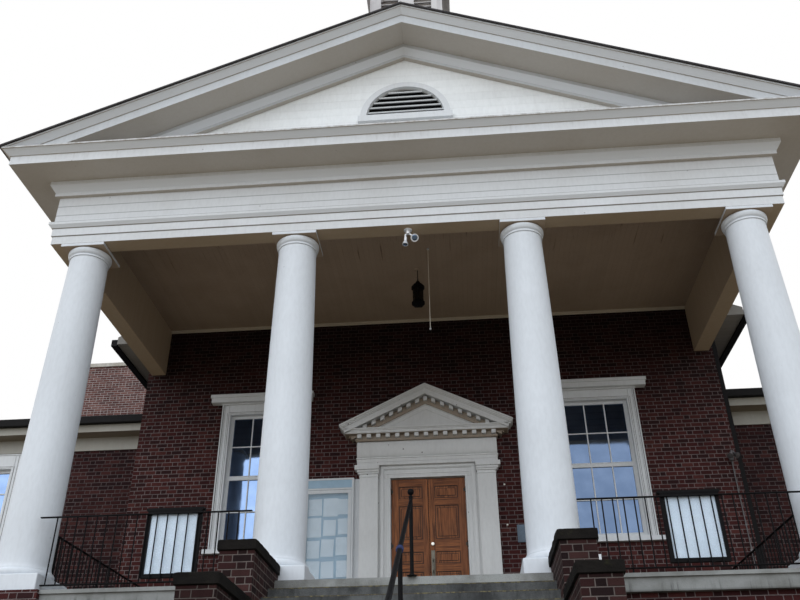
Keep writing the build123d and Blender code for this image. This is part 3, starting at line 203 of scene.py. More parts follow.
def new_group(name, takes, work):
    """A node group whose results a function works out from the group's inputs."""
    tree = bpy.data.node_groups.new(name, "ShaderNodeTree")
    for label, value in takes.items():
        kind = "NodeSocketVector" if value is None else "NodeSocketFloat"
        socket = tree.interface.new_socket(name=label, in_out="INPUT", socket_type=kind)
        if value is not None:
            socket.default_value = value
    g = Graph(tree)
    given = {socket.name: Term(g, socket) for socket in tree.nodes.new("NodeGroupInput").outputs if socket.name}
    results = work(g, given)
    for label in results:
        tree.interface.new_socket(name=label, in_out="OUTPUT", socket_type="NodeSocketFloat")
    out = tree.nodes.new("NodeGroupOutput").inputs
    for label, value in results.items():
        g.wire(value, out[label])
    return tree


def tone(red, green, blue):
    """A colour written as it looks on a screen, from 0 to 255."""
    linear = [(v / 255 / 12.92) if v <= 10 else ((v / 255 + 0.055) / 1.055) ** 2.4 for v in (red, green, blue)]
    return (*linear, 1.0)


def times(colour, share):
    return tuple(v * share for v in colour[:3]) + (1.0,)


def wall_plane_work(g, given):
    """Distance along a wall and height on it, whichever way the wall faces."""
    across = [abs(part) for part in g.facing]
    return {"Along": g.blend(across[0] > across[1], g.xyz[0], g.xyz[1]),
            "Up": g.blend(across[2] > 0.7, g.xyz[2], g.xyz[1])}


def bond_work(common):
    """Brick courses in Flemish bond, or stretchers with a course of headers in every six."""
    def work(g, given):
        rows = given["Up"] / given["Course"]
        row = math.floor(rows)
        if common:
            header = row % 6.0 < 0.5
            unit = given["Brick"] * (1.0 - header * 0.5)
        else:
            unit = given["Pair"]
        units = given["Along"] / unit + row % 2.0 * 0.5
        count = math.floor(units)
        run = (units - count) * unit
        ends = g.least(run, unit - run)
        if not common:
            header = run > given["Stretcher"]
            ends = g.least(ends, abs(run - given["Stretcher"]))
            count = count * 2.0 + header
        rise = (rows - row) * given["Course"]
        half = given["Joint"] * 0.5
        face = g.step(g.least(ends, g.least(rise, given["Course"] - rise)), half * 0.6, half * 1.6)
        return {"Joint": 1.0 - face, "Tone": g.chance(count, row), "Header": header, "Face": face}
    return work


def boards_work(g, given):
    """Parallel boards with a groove between them and a tone for each board."""
    count = given["Across"] / given["Board"]
    board = math.floor(count)
    run = (count - board) * given["Board"]
    edge = g.least(run, given["Board"] - run)
    return {"Groove": g.step(edge, 0.0, given["Groove"], 1.0, 0.0), "Tone": g.chance(board)}


def weather_work(g, given):
    """Blotches, streaks that run down, and small specks of dirt."""
    g.place = given["Place"]
    cells = g.node("ShaderNodeTexVoronoi", {"Vector": g.place, "Scale": 5.0}, feature="F1").outputs
    near = Term(g, cells["Distance"]) / 5.0 < given["Speck size"]
    few = g.split(Term(g, cells["Color"]))[0] > given["Clean share"]
    return {"Blotch": g.step(g.noise(0.9, 5.0), 0.38, 0.72),
            "Streak": g.step(g.noise(1.0, 5.0, 0.6, (9.0, 9.0, 0.5)), 0.48, 0.78), "Speck": near * few}


wall_plane = new_group("wall_plane", {}, wall_plane_work)
flemish_bond = new_group("flemish_bond", {"Along": 0.0, "Up": 0.0, "Course": 0.075, "Pair": 0.30, "Stretcher": 0.20,
                                          "Joint": 0.010}, bond_work(False))
common_bond = new_group("common_bond", {"Along": 0.0, "Up": 0.0, "Course": 0.075, "Brick": 0.21, "Joint": 0.012},
                        bond_work(True))
boards = new_group("boards", {"Across": 0.0, "Board": 0.1, "Groove": 0.006}, boards_work)
weather = new_group("weather", {"Place": None, "Speck size": 0.012, "Clean share": 0.82}, weather_work)


# ---- Finishes
matt = {"Specular IOR Level": 0.15}


def brick_finish(name, bond, dark, middle, light, mortar, soot=0.35, painted_shade_from=None):
    g = new_material(name)
    wall = g.use(wall_plane)
    wobble = (g.noise(11.0) - 0.5) * 0.006
    brick = g.use(bond, {"Along": wall["Along"] + wobble, "Up": wall["Up"] + wobble * 0.7})
    clay = g.mixed(g.step(brick["Tone"], 0.0, 0.55), dark, middle)
    clay = g.mixed(g.step(brick["Tone"], 0.6, 1.0), clay, light)
    clay = g.shaded(clay, brick["Header"] * 0.35, 0.6)
    grain = g.noise(95.0, 4.0, 0.65)
    clay = g.shaded(clay, g.step(grain, 0.45, 0.75), 0.72)
    marks = g.use(weather, {"Place": g.place})
    pointing = g.shaded(mortar, g.step(g.noise(3.1, 4.0), 0.4, 0.7), 0.66)
    colour = g.mixed(brick["Joint"], clay, pointing)
    colour = g.shaded(colour, marks["Blotch"] * soot, 0.62)
    colour = g.shaded(colour, marks["Streak"] * (soot * 0.7), 0.6)
    # Painted shade: the brick grows darker up towards the porch ceiling.
    if painted_shade_from:
        colour = g.shaded(colour, g.step(g.xyz[2], painted_shade_from, ceiling_z), 0.3)
    return g.finish(colour, g.step(grain, 0.2, 0.8, 0.78, 0.95), grain * 0.25 + brick["Face"], 0.007, plain=matt)


def paint_finish(name, colour, dirt=0.25, streaks=0.2, specks=0.6, roughness=0.55, board_axis=None, board=0.12,
                 groove_shade=0.6, stain=(120, 108, 92), clean=0.82, under=None, drips=None):
    """Brushed paint with blotches, streaks and specks, over boards where the piece has them, with painted shade in the
    board grooves and, where asked, on faces that look down.
    """
    g = new_material(name)
    marks = g.use(weather, {"Place": g.place, "Clean share": clean})
    brush = g.noise(26.0, 3.0, 0.5, (1.0, 1.0, 0.35))
    shade = g.shaded(colour, g.step(brush, 0.35, 0.7), 0.955)
    shade = g.mixed(marks["Blotch"] * (dirt * 0.55), shade, tone(*stain))
    shade = g.mixed(marks["Streak"] * (streaks * 0.6), shade, tone(*stain))
    relief = brush * 0.25
    if board_axis is not None:
        planks = g.use(boards, {"Across": g.xyz[board_axis], "Board": board})
        # Painted shade in the grooves between the boards.
        shade = g.shaded(shade, planks["Groove"], groove_shade)
        shade = g.shaded(shade, planks["Tone"] * 0.5, 0.9)
        relief = relief - planks["Groove"]
    shade = g.mixed(marks["Speck"] * specks, shade, tone(58, 52, 46))
    if drips is not None:
        behind = g.step(g.xyz[1] - drips, 0.0, 1.1, 0.64, 0.85)
        stray = g.step(g.noise(1.0, 3.0, 0.6, (26.0, 0.6, 1.0)) - behind, 0.0, 0.05)
        shade = g.mixed(stray * 0.55, shade, tone(84, 58, 46))
    # Painted shade: faces that look down take the given underside tone.
    if under:
        shade = g.mixed(g.step(g.facing[2], -0.9, -0.4, 1.0, 0.0), shade, tone(*under))
    return g.finish(shade, g.step(marks["Blotch"], 0.0, 1.0, roughness, min(1.0, roughness + 0.2)), relief, 0.0025,
                    plain={"Specular IOR Level": 0.4})


def cornice_finish(name, colour, rake):
    """White paint that has weathered grey and brown on its crown, where water stands, with painted shadow lines at the
    fascia steps, painted shade on faces that look down and painted light on faces that tip down towards the front.
    """
    g = new_material(name)
    marks = g.use(weather, {"Place": g.place})
    x, y, z = g.xyz
    below = (ridge_z - abs(x) * roof_pitch if rake else cornice_z) - z
    run_down = g.noise(1.0, 6.0, 0.65, (14.0, 14.0, 1.2))
    crown = g.step(below, 0.02, 0.125, 1.0, 0.0)
    fascia = g.step(below, 0.14, 0.3, 1.0, 0.0)
    brush = g.noise(26.0, 3.0, 0.5, (1.0, 1.0, 0.35))
    shade = g.shaded(colour, g.step(brush, 0.35, 0.7), 0.955)
    # Painted shadow lines under the steps of the fascias.
    for step_shadow in () if rake else (0.139, 0.278, 0.370, 0.520, 0.690):
        shade = g.shaded(shade, g.step(abs(z - (beam_z + step_shadow)), 0.003, 0.009, 0.8, 0.0), 0.35)
    shade = g.mixed(crown * g.step(run_down, 0.3, 0.7, 0.1, 0.25 if rake else 0.5), shade, tone(122, 112, 100))
    shade = g.mixed(fascia * g.step(run_down, 0.5, 0.8, 0.0, 0.12 if rake else 0.25), shade, tone(105, 90, 72))
    shade = g.mixed(marks["Blotch"] * 0.14, shade, tone(140, 128, 112))
    shade = g.mixed(marks["Speck"] * 0.35, shade, tone(70, 62, 54))
    level = g.step(abs(g.facing[1]), 0.1, 0.3, 1.0, 0.0)
    under = g.step(g.facing[2], -0.9, -0.4, 1.0, 0.0) * level
    # Painted light: faces that tip down towards the front are set to clean bright white.
    slant = g.step(g.facing[2], -0.5, -0.2, 1.0, 0.0) - level
    shade = g.mixed(slant, shade, tone(214, 218, 223))
    # The beam undersides take the beige of the ceiling paint; the inner faces of the side beams take it too, as painted
    # shade.
    if not rake:
        beam = under * g.step(z, beam_z + 0.02, beam_z + 0.05, 1.0, 0.0)
        inward = (g.step(abs(x), beam_inner + 0.02, beam_inner + 0.06, 1.0, 0.0)
                  * g.step(y, y_col + 0.2, y_col + 0.24))
        shade = g.mixed(g.most(beam, inward), shade, tone(172, 154, 132))
    # Painted shade: flat undersides are mixed halfway to brown.
    shade = g.mixed(under, shade, g.mixed(0.5, shade, tone(168, 150, 124)))
    return g.finish(shade, g.step(run_down, 0.2, 0.8, 0.5, 0.8), brush, 0.0015)


def stone_finish(name, pale, dark, coarse=0.5, moss=0.0):
    """Weathered stone or concrete with pores, stains and, if asked, moss."""
    g = new_material(name)
    pores = g.noise(70.0, 4.0, 0.7)
    pits = g.add("TexVoronoi", {"Vector": g.place, "Scale": 48.0}, "Distance")
    shade = g.mixed(g.step(g.noise(1.7, 6.0, 0.62), 0.3, 0.7), pale, dark)
    shade = g.shaded(shade, g.step(pores, 0.42, 0.72), 0.7)
    shade = g.shaded(shade, g.step(g.noise(1.0, 5.0, 0.6, (7.0, 7.0, 0.6)), 0.5, 0.75) * coarse, 0.45)
    if moss:
        shade = g.mixed(g.step(g.noise(4.0, 5.0, 0.7), 0.55, 0.75) * moss, shade, tone(74, 76, 44))
    return g.finish(shade, 0.9, pits * 0.4 + pores, 0.006, 0.8, matt)


def step_finish(name):
    """Stone treads, paler on faces that point up, with darker risers streaked by drips."""
    g = new_material(name)
    top_slab = g.step(g.xyz[2], terrace_z - 0.125, terrace_z - 0.115)
    broad = g.noise(2.2, 6.0, 0.65)
    wide = g.step(broad, 0.3, 0.7)
    pores = g.noise(80.0, 4.0, 0.7)
    drips = g.noise(1.0, 5.0, 0.6, (10.0, 3.0, 1.5))
    face = g.mixed(wide, tone(98, 100, 100), tone(54, 55, 56))
    face = g.shaded(face, g.step(drips, 0.45, 0.7), 0.6)
    top = g.mixed(wide, tone(134, 130, 120), tone(98, 93, 84))
    edge = g.mixed(g.step(broad, 0.35, 0.7), tone(156, 158, 156), tone(116, 116, 113))
    shade = g.mixed(g.step(g.facing[2], 0.5, 0.8), g.mixed(top_slab, face, edge), top)
    shade = g.shaded(shade, g.step(pores, 0.42, 0.75), 0.75)
    return g.finish(shade, 0.92, pores, 0.005, 0.8)


def band_finish(name):
    """The terrace edge: white concrete with black drips under its cap, and painted shade along its lower edge."""
    g = new_material(name)
    below = terrace_z - g.xyz[2]
    pores = g.noise(60.0, 4.0, 0.7)
    drips = g.step(g.noise(1.0, 6.0, 0.7, (16.0, 16.0, 0.8)), 0.5, 0.72)
    shade = g.mixed(g.step(g.noise(2.4, 5.0), 0.35, 0.7), tone(140, 142, 141), tone(110, 111, 108))
    shade = g.shaded(shade, drips * g.step(below, 0.05, 0.16), 0.4)
    # Painted shade along the lower edge of the band.
    shade = g.shaded(shade, g.step(below, 0.17, 0.2), 0.55)
    shade = g.mixed(g.step(g.facing[2], 0.5, 0.8), shade, tone(104, 98, 88))
    shade = g.shaded(shade, g.step(pores, 0.45, 0.75), 0.88)
    return g.finish(shade, 0.88, pores, 0.003, 0.7)


def shingle_finish(name, colour, course=0.14, width=0.30):
    """Dark shingles in courses down a slope, each with its own tone and a thick lower edge, with painted shade in the
    slots between tabs and along each thick edge.
    """
    g = new_material(name)
    sideways = abs(g.facing[0]) > abs(g.facing[1])
    rows = abs(g.blend(sideways, g.xyz[1], g.xyz[0])) / course
    row = math.floor(rows)
    tabs = g.blend(sideways, g.xyz[0], g.xyz[1]) / width + g.chance(row)
    tab = math.floor(tabs)
    own = g.chance(tab, row)
    slope, run = rows - row, tabs - tab
    slot = g.step(g.least(run, 1.0 - run), 0.0, 0.03, 1.0, 0.0)
    grit = g.noise(160.0, 3.0, 0.7)
    # Painted shade in the slots between the tabs.
    shade = g.shaded(g.mixed(own, colour, times(colour, 1.7)), slot, 0.35)
    # Painted shade along the thick edge of each course.
    shade = g.shaded(shade, g.step(slope, 0.9, 1.0), 0.4)
    shade = g.shaded(shade, g.step(grit, 0.4, 0.7), 0.7)
    return g.finish(shade, 0.93, grit * 0.2 + slope - slot, 0.012, 0.8)


def panel_quirk_shade(g, x, z, x0, x1, z0, z1):
    """High in the quirk round a raised panel, low elsewhere: where the painted shade goes."""
    edge = g.least(g.least(x - x0, x1 - x), g.least(z - z0, z1 - z))
    outer = g.step(edge, -0.004, 0.002) * g.step(edge, 0.010, 0.018, 1.0, 0.0)
    inner = g.step(edge, 0.036, 0.041) * g.step(edge, 0.047, 0.052, 1.0, 0.0)
    return g.most(outer, inner)


def varnish_finish(name):
    """Varnished door wood: the grain runs up the stiles and panels and along the rails, with painted shade in the
    quirks round the panels.
    """
    g = new_material(name)
    reach = abs(g.xyz[0])
    middle = g.step(reach, 0.104, 0.108) * g.step(reach, 0.526, 0.530, 1.0, 0.0)
    rise = g.xyz[2] - terrace_z
    rail = middle * sum((rise > low) * (rise < high) for low, high in (
        (0.0, 0.66), (1.151, 1.284), (1.487, 1.704), (2.291, 2.422), (2.643, 3.0)))
    grain = g.blend(rail, g.noise(1.0, 7.0, 0.62, (46.0, 46.0, 2.2)), g.noise(1.0, 7.0, 0.62, (2.2, 46.0, 46.0)))
    figure = g.noise(1.0, 3.0, 0.5, (7.0, 7.0, 0.8))
    shade = g.mixed(g.step(grain, 0.33, 0.68), tone(158, 92, 40), tone(80, 40, 17))
    shade = g.mixed(g.step(figure, 0.35, 0.7, 0.0, 0.6), shade, tone(112, 60, 24))
    # Painted shade in the quirks round each raised panel.
    shade = g.shaded(shade, sum(panel_quirk_shade(g, reach, rise, 0.109, 0.526, low, high) for low, high in (
        (0.66, 1.151), (1.284, 1.487), (1.704, 2.291), (2.422, 2.643))), 0.22)
    shade = g.shaded(shade, rail * 0.35, 0.86)
    shade = g.shaded(shade, g.step(g.noise(3.0, 4.0), 0.5, 0.75), 0.78)
    return g.finish(shade, g.step(grain, 0.3, 0.7, 0.45, 0.62), grain, 0.0012, 0.6,
                    {"Specular IOR Level": 0.25, "Coat Weight": 0.08, "Coat Roughness": 0.3})


def metal_paint_finish(name, colour, roughness=0.42, rust=0.0, metallic=0.0):
    g = new_material(name)
    fine = g.noise(120.0, 3.0, 0.6)
    shade = g.mixed(g.step(g.noise(6.0, 5.0, 0.65), 0.4, 0.75, 0.0, 0.5), colour, times(colour, 1.9))
    if rust:
        shade = g.mixed(g.step(g.noise(17.0, 5.0, 0.7), 0.62, 0.75) * rust, shade, tone(96, 52, 30))
    return g.finish(shade, g.step(fine, 0.3, 0.7, roughness, roughness + 0.18), fine, 0.0012, 0.5,
                    {"Metallic": metallic, "Specular IOR Level": 0.5 if metallic else 0.12})


def pane_finish(name):
    """Old window glass that mirrors the sky, slightly wavy, and dark behind; its blue tone is a painted sky reflection.
    """
    g = new_material(name)
    film = g.noise(2.0, 4.0)
    # Painted reflection: the blue tone colours the mirrored white sky blue.
    shade = g.mixed(g.step(film, 0.3, 0.7), tone(108, 130, 164), tone(124, 146, 180))
    return g.finish(shade, g.step(film, 0.3, 0.7, 0.02, 0.06), g.noise(2.2, 2.0), 0.004, 0.12, {"Metallic": 1.0})


def clear_finish(name, colour, alpha):
    g = new_material(name)
    smear = g.noise(1.6, 3.0)
    g.wire(g.step(smear, 0.3, 0.7, alpha, alpha + 0.04), g.shader.inputs["Alpha"])
    return g.finish(g.mixed(g.step(smear, 0.3, 0.7), colour, times(colour, 0.92)),
                    g.step(smear, 0.3, 0.7, 0.05, 0.2))


def paper_finish(name, colour):
    g = new_material(name)
    curl = g.noise(7.0, 3.0)
    shade = g.shaded(colour, g.step(curl, 0.35, 0.7), 0.93)
    shade = g.shaded(shade, g.step(g.noise(240.0, 3.0, 0.6), 0.45, 0.7), 0.97)
    return g.finish(shade, 0.8, curl, 0.004, 0.5)


def stripe_finish(name):
    """Yellow nosing paint worn through to the stone."""
    g = new_material(name)
    wear = g.step(g.noise(21.0, 6.0, 0.7), 0.40, 0.54)
    return g.finish(g.mixed(wear, tone(112, 104, 74), tone(70, 66, 58)), 0.85, wear, 0.002, 0.6)


white = tone(214, 217, 220)
column_white = tone(214, 219, 225)
brick = brick_finish("front_brick", flemish_bond, tone(46, 24, 26), tone(66, 31, 31), tone(82, 44, 42),
                     tone(120, 108, 108))
# Porch brick: the same brick, with painted shade that deepens towards the ceiling.
porch_brick = brick_finish("porch_brick", flemish_bond, tone(46, 25, 26), tone(66, 31, 30), tone(80, 43, 40),
                           tone(122, 110, 109), 0.35, terrace_z + 2.9)
old_brick = brick_finish("cheek_brick", flemish_bond, tone(34, 22, 23), tone(52, 29, 29), tone(70, 45, 43),
                         tone(112, 102, 98), 0.8)
wing_brick = brick_finish("wing_brick", flemish_bond, tone(36, 19, 21), tone(52, 25, 25), tone(66, 36, 34),
                          tone(92, 82, 82))
rear_brick = brick_finish("rear_brick", common_bond, tone(84, 56, 54), tone(102, 68, 64), tone(118, 84, 78),
                          tone(172, 164, 160), 0.25)
column_paint = paint_finish("column_paint", column_white, 0.08, 0.06, 0.2, 0.5)
# The abacus's brown underside tone is painted shade.
abacus_paint = paint_finish("abacus_paint", column_white, 0.1, 0.0, 0.2, under=(168, 150, 130))
trim_paint = paint_finish("trim_paint", white, 0.14, 0.12, 0.35)
surround_paint = paint_finish("surround_paint", tone(218, 219, 219), 0.16, 0.12, 0.9, clean=0.45)
# Painted light: the tympanum's white is set brighter than the other trim to make up for the shade under the raking
# cornice.
tympanum_paint = paint_finish("tympanum_boards", tone(236, 239, 240), 0.10, 0.08, 0.2, 0.6, 2, 0.16, 0.95)
ceiling_paint = paint_finish("ceiling_boards", tone(166, 147, 128), 0.3, 0.0, 0.3, 0.75, 0, 0.09, 0.94,
                             (96, 78, 62), drips=y_col + 1.645)
moulding_paint = paint_finish("ceiling_moulding", tone(196, 186, 170), 0.2, 0.0, 0.3, 0.7)
# Painted shade: the eaves take a grey in place of white paint.
soffit_paint = paint_finish("eave_paint", tone(140, 138, 134), 0.35, 0.2, 0.3, 0.7, 1, 0.14, 0.7)
# The wing cornices' underside tone is painted shade.
wing_paint = paint_finish("wing_cornice_paint", tone(158, 156, 148), 0.35, 0.25, 0.3, under=(120, 110, 96))
cupola_paint = paint_finish("cupola_paint", tone(208, 206, 206), 0.7, 0.8, 0.3, 0.7, None, 0.1, 0.6, (132, 124, 128))
inner_floor = paint_finish("floor_boards", tone(122, 88, 58), 0.2, 0.0, 0.1, 0.5, 0, 0.08, 0.5)
# Painted shade: a darker brown for the backings between and under the dentils.
dentil_shade_paint = paint_finish("dentil_shade_paint", tone(158, 145, 130), 0.5, 0.3, 0.5)
quirk_shadow_paint = paint_finish("quirk_shadow", tone(64, 58, 54), 0.2, 0.2, 0.2)
cornice_paint = cornice_finish("cornice_paint", white, False)
rake_paint = cornice_finish("rake_paint", tone(196, 200, 204), True)
cap_stone = stone_finish("cap_stone", tone(29, 26, 24), tone(8, 8, 9), 0.7, 0.3)
stoop_stone = stone_finish("stoop_stone", tone(150, 144, 132), tone(120, 112, 100), 0.3)
coping_stone = stone_finish("coping_stone", tone(204, 200, 192), tone(168, 162, 150), 0.4)
flat_roof = stone_finish("flat_roof_felt", tone(70, 68, 66), tone(48, 47, 46), 0.3)
step_stone = step_finish("step_stone")
band_concrete = band_finish("band_concrete")
shingles = shingle_finish("roof_shingles", tone(52, 50, 52))
slates = shingle_finish("cupola_slates", tone(58, 60, 66), 0.12, 0.2)
varnish = varnish_finish("door_varnish")
bronze = metal_paint_finish("dark_bronze", tone(52, 50, 44), 0.4, 0.15, 0.6)
iron = metal_paint_finish("black_iron", tone(7, 7, 10), 0.5, 0.12)
plate_metal = metal_paint_finish("worn_plate", tone(112, 108, 98), 0.4, 0.15, 0.6)
gutter_paint = metal_paint_finish("gutter_paint", tone(17, 16, 18), 0.5, 0.15)
silver = metal_paint_finish("silver_fitting", tone(214, 217, 222), 0.3, 0.0, 0.35)
collar_paint = metal_paint_finish("rail_collar", tone(38, 46, 78), 0.4, 0.2)
plaque_metal = metal_paint_finish("plaque_metal", tone(84, 98, 112), 0.45, 0.05, 0.3)
lamp_metal = metal_paint_finish("wall_lamp_metal", tone(92, 90, 92), 0.35, 0.15, 0.5)
lock_metal = metal_paint_finish("lock_metal", tone(222, 220, 212), 0.2, 0.0, 0.5)
lamp_face = pane_finish("lamp_face")
pane = pane_finish("window_pane")
# The pale blue of these two panes is a painted reflection laid over what lies behind.
notice_pane = clear_finish("notice_pane", tone(196, 220, 236), 0.16)
case_pane = clear_finish("case_pane", tone(206, 226, 246), 0.18)
lantern_glass = clear_finish("lantern_pane", tone(16, 15, 14), 0.85)
paper_white = paper_finish("notice_paper", tone(238, 246, 252))
paper_blue = paper_finish("backing_paper", tone(164, 192, 212))
cord_cotton = paper_finish("pull_cord_cotton", tone(244, 238, 226))
stripe = stripe_finish("nosing_stripe")

for finish, names in (
        (brick, "front_wall_base main_side_walls main_rear_wall podium_front_wall podium_side_walls"),
        (porch_brick, "front_walls front_wall_over_door"), (wing_brick, "wing_walls wing_end_walls"),
        (old_brick, "cheek_walls"), (rear_brick, "annex_walls"), (column_paint, "columns"),
        (cornice_paint, "entablature_front entablature_sides"), (rake_paint, "raking_cornice"),
        (tympanum_paint, "tympanum"), (trim_paint, "lunette_surround window_frames notice_case notice_door"),
        (ceiling_paint, "portico_ceiling"), (soffit_paint, "main_eaves"),
        (wing_paint, "wing_cornices"), (cupola_paint, "belfry cupola_base"), (slates, "cupola_roof"),
        (surround_paint, "door_frame door_surround"), (coping_stone, "annex_coping"), (cap_stone, "cheek_caps"),
        (step_stone, "entrance_steps"), (stoop_stone, "entrance_stoop"), (inner_floor, "ground_floors"),
        (band_concrete, "terrace_slab"), (shingles, "main_roof portico_roof wing_roofs"), (flat_roof, "annex_roof"),
        (varnish, "left_door right_door"), (bronze, "left_door_hinges right_door_hardware hinge_pins"),
        (iron, "porch_railings stair_handrail lantern display_cases lunette_louvre"), (gutter_paint, "gutters"),
        (pane, "window_glass"), (notice_pane, "notice_glass"), (plaque_metal, "plaque"),
        (silver, "floodlights cord_eye"), (cord_cotton, "pull_cord")):
    for name in names.split():
        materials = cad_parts[name].data.materials
        materials.clear()
        materials.append(finish)


# ---- Modelling helpers
def at(x=0.0, y=0.0, z=0.0):
    return Matrix.Translation((x, y, z))


def spin(angle, axis="Z"):
    return Matrix.Rotation(math.radians(angle), 4, axis)


def facing_way(way):
    """The turn that points a piece's top along a direction."""
    return Vector(way).to_track_quat("Z", "Y").to_matrix().to_4x4()


def deselect():
    if bpy.context.object and bpy.context.object.mode != "OBJECT":
        bpy.ops.object.mode_set(mode="OBJECT")
    bpy.ops.object.select_all(action="DESELECT")


def pick(*pieces):
    deselect()
    for piece in pieces:
        piece.select_set(True)
    bpy.context.view_layer.objects.active = pieces[0]


def set_down(piece):
    pick(piece)
    bpy.ops.object.transform_apply(location=True, rotation=True, scale=True)
    return piece


def slab(low, high):
    """A block between two corners, to be joined, bevelled or shaped further."""
    deselect()
    low, high = Vector(low), Vector(high)
    bpy.ops.mesh.primitive_cube_add(size=1, location=(low + high) / 2, scale=high - low)
    return set_down(bpy.context.object)


def joined(name, parts):
    pick(*parts)
    if len(parts) > 1:
        bpy.ops.object.join()
    piece = bpy.context.object
    piece.name = piece.data.name = name
    return piece


def bevelled(piece, width, segments=2):
    pick(piece)
    edge = piece.modifiers.new("edge", "BEVEL")
    edge.width, edge.segments, edge.limit_method = width, segments, "ANGLE"
    bpy.ops.object.modifier_apply(modifier=edge.name)
    return piece


def turned(rings, x=0.0, y=0.0, z=0.0, segments=32, twist=0.0):
    """A round form drawn up from a circle, ring by ring, each ring a radius and a height."""
    deselect()
    radius, rise = rings[0]
    bpy.ops.mesh.primitive_circle_add(vertices=segments, radius=radius, fill_type="NGON",
                                      location=(x, y, z + rise), rotation=(0, 0, twist))
    piece = bpy.context.object
    bpy.ops.object.mode_set(mode="EDIT")
    bpy.ops.mesh.select_all(action="SELECT")
    for next_radius, next_rise in rings[1:]:
        bpy.ops.mesh.extrude_region_move(TRANSFORM_OT_translate={"value": (0, 0, next_rise - rise)})
        grow = next_radius / radius
        bpy.ops.transform.resize(value=(grow, grow, 1))
        radius, rise = next_radius, next_rise
    bpy.ops.mesh.select_all(action="SELECT")
    bpy.ops.mesh.normals_make_consistent(inside=False)
    bpy.ops.object.mode_set(mode="OBJECT")
    return set_down(piece)


def rod(start, end, radius, segments=12):
    """A straight round bar between two points."""
    deselect()
    start, end = Vector(start), Vector(end)
    run = end - start
    bpy.ops.mesh.primitive_cylinder_add(vertices=segments, radius=radius, depth=run.length,
                                        location=(start + end) / 2,
                                        rotation=run.to_track_quat("Z", "Y").to_euler())
    return set_down(bpy.context.object)


def smooth(piece, angle=35):
    pick(piece)
    bpy.ops.object.shade_smooth_by_angle(angle=math.radians(angle))
    return piece


def placed(piece, matrix):
    piece.data.transform(matrix)
    return piece


def copied(piece, matrix):
    twin = piece.copy()
    twin.data = piece.data.copy()
    bpy.context.scene.collection.objects.link(twin)
    return placed(twin, matrix)


def spread(piece, places):
    """A copy of a piece at each place, without the piece itself."""
    made = [copied(piece, place) for place in places]
    bpy.data.objects.remove(piece)
    return made


def dressed(name, parts, finish, body="building", replaces=None, edge=None, angle=None):
    """Join parts under a name, with a finish and the body that carries them."""
    piece = joined(name, parts if isinstance(parts, list) else [parts])
    if edge:
        bevelled(piece, *edge)
    if angle:
        smooth(piece, angle)
    piece.data.materials.clear()
    piece.data.materials.append(finish)
    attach(piece, body)
    if replaces:
        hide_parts(replaces)
    return piece


# ---- Columns: smooth shafts that swell and taper, round bases and capitals, square plinths
def make_columns():
    base_r, top_r, plinth_half = 0.330, 0.280, 0.415
    rings = [(0.342, 0.205), (0.362, 0.210), (0.378, 0.226), (0.386, 0.250), (0.384, 0.270), (0.372, 0.290),
             (0.352, 0.302), (0.346, 0.306), (0.345, 0.322), (0.338, 0.334), (0.333, 0.352), (base_r, 0.38)]
    rings += [(base_r - (base_r - top_r) * (i / 12) ** 1.6, 0.38 + i / 12 * 4.44) for i in range(1, 13)]
    rings += [(top_r - 0.002, 4.900), (top_r + 0.012, 4.902), (top_r + 0.013, 4.926), (top_r + 0.004, 4.929),
              (top_r + 0.006, 4.936), (0.303, 4.948), (0.313, 4.968), (0.317, 4.984), (0.319, 4.990), (0.319, 5.020),
              (0.315, 5.025), (0.288, 5.026), (0.288, 5.045)]
    shaft = smooth(turned(rings, segments=64), 30)
    plinth = bevelled(slab((-plinth_half, -plinth_half, 0), (plinth_half, plinth_half, 0.21)), 0.012)
    abacus = bevelled(slab((-0.329, -0.329, 5.041), (0.329, 0.329, 5.0895)), 0.004)
    one = joined("column", [shaft, plinth])
    low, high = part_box("columns")
    outer = (high.x - low.x) / 2 - plinth_half
    places = [at(x, y_col, terrace_z) for x in (-outer, -inner_column_x, inner_column_x, outer)]
    shafts, abaci = spread(one, places), spread(abacus, places)
    dressed("column_abaci", abaci, abacus_paint)
    dressed("portico_columns", shafts, column_paint, replaces="columns")


# ---- Windows: tall ones with a cap and low ones without, glazing bars, a bead round each sash, and casings
tall = {"glass_top": 4.11, "meeting": 2.935, "head": 4.18, "top": 4.38, "capped": True}
short = {"glass_top": 3.48, "meeting": 2.59, "head": 3.55, "top": 3.83, "capped": False}
glass_half, glass_low, casing_low, casing_half = 0.552, 1.70, 1.62, 0.775


def window_places():
    y_wing, y_wing_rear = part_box("wing_walls")[0].y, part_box("wing_walls")[1].y
    x_wing, x_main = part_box("wing_walls")[1].x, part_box("main_side_walls")[1].x
    y_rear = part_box("main_rear_wall")[1].y
    x_annex, y_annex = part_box("annex_walls")[0].x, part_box("annex_walls")[0].y
    middle = (x_main + x_wing) / 2
    large = [((x, y_wall), 0, 0) for x in (-3.12, 3.12)] + [((x, y_rear), 180, 0) for x in (-3.12, 0, 3.12)]
    large += [((x_main, y_wing_rear + back), 90, 0) for back in (1.9, 4.5)]
    small = [((-middle, y_wing), 0, 0), ((middle, y_wing), 0, 0), ((middle, y_wing_rear), 180, 0)]
    for side in (-1, 1):
        small += [((side * x_wing, y_wing + (y_wing_rear - y_wing) * share), 90 * side, 0) for share in (0.28, 0.72)]
    for lift in (0, 3.93):
        small += [((x_annex, (y_annex + y_rear) / 2), -90, lift), (((x_annex - x_main) / 2, y_rear), 180, lift)]
    return large, small


def on_windows(name, build, finish, edge=None):
    """One set of parts for each kind of window, copied to every window of that kind."""
    made = []
    for kind, places in zip((tall, short), window_places()):
        made += spread(build(kind), [at(x, y, terrace_z + lift) @ spin(angle) for (x, y), angle, lift in places])
    dressed(name, made, finish, edge=edge)


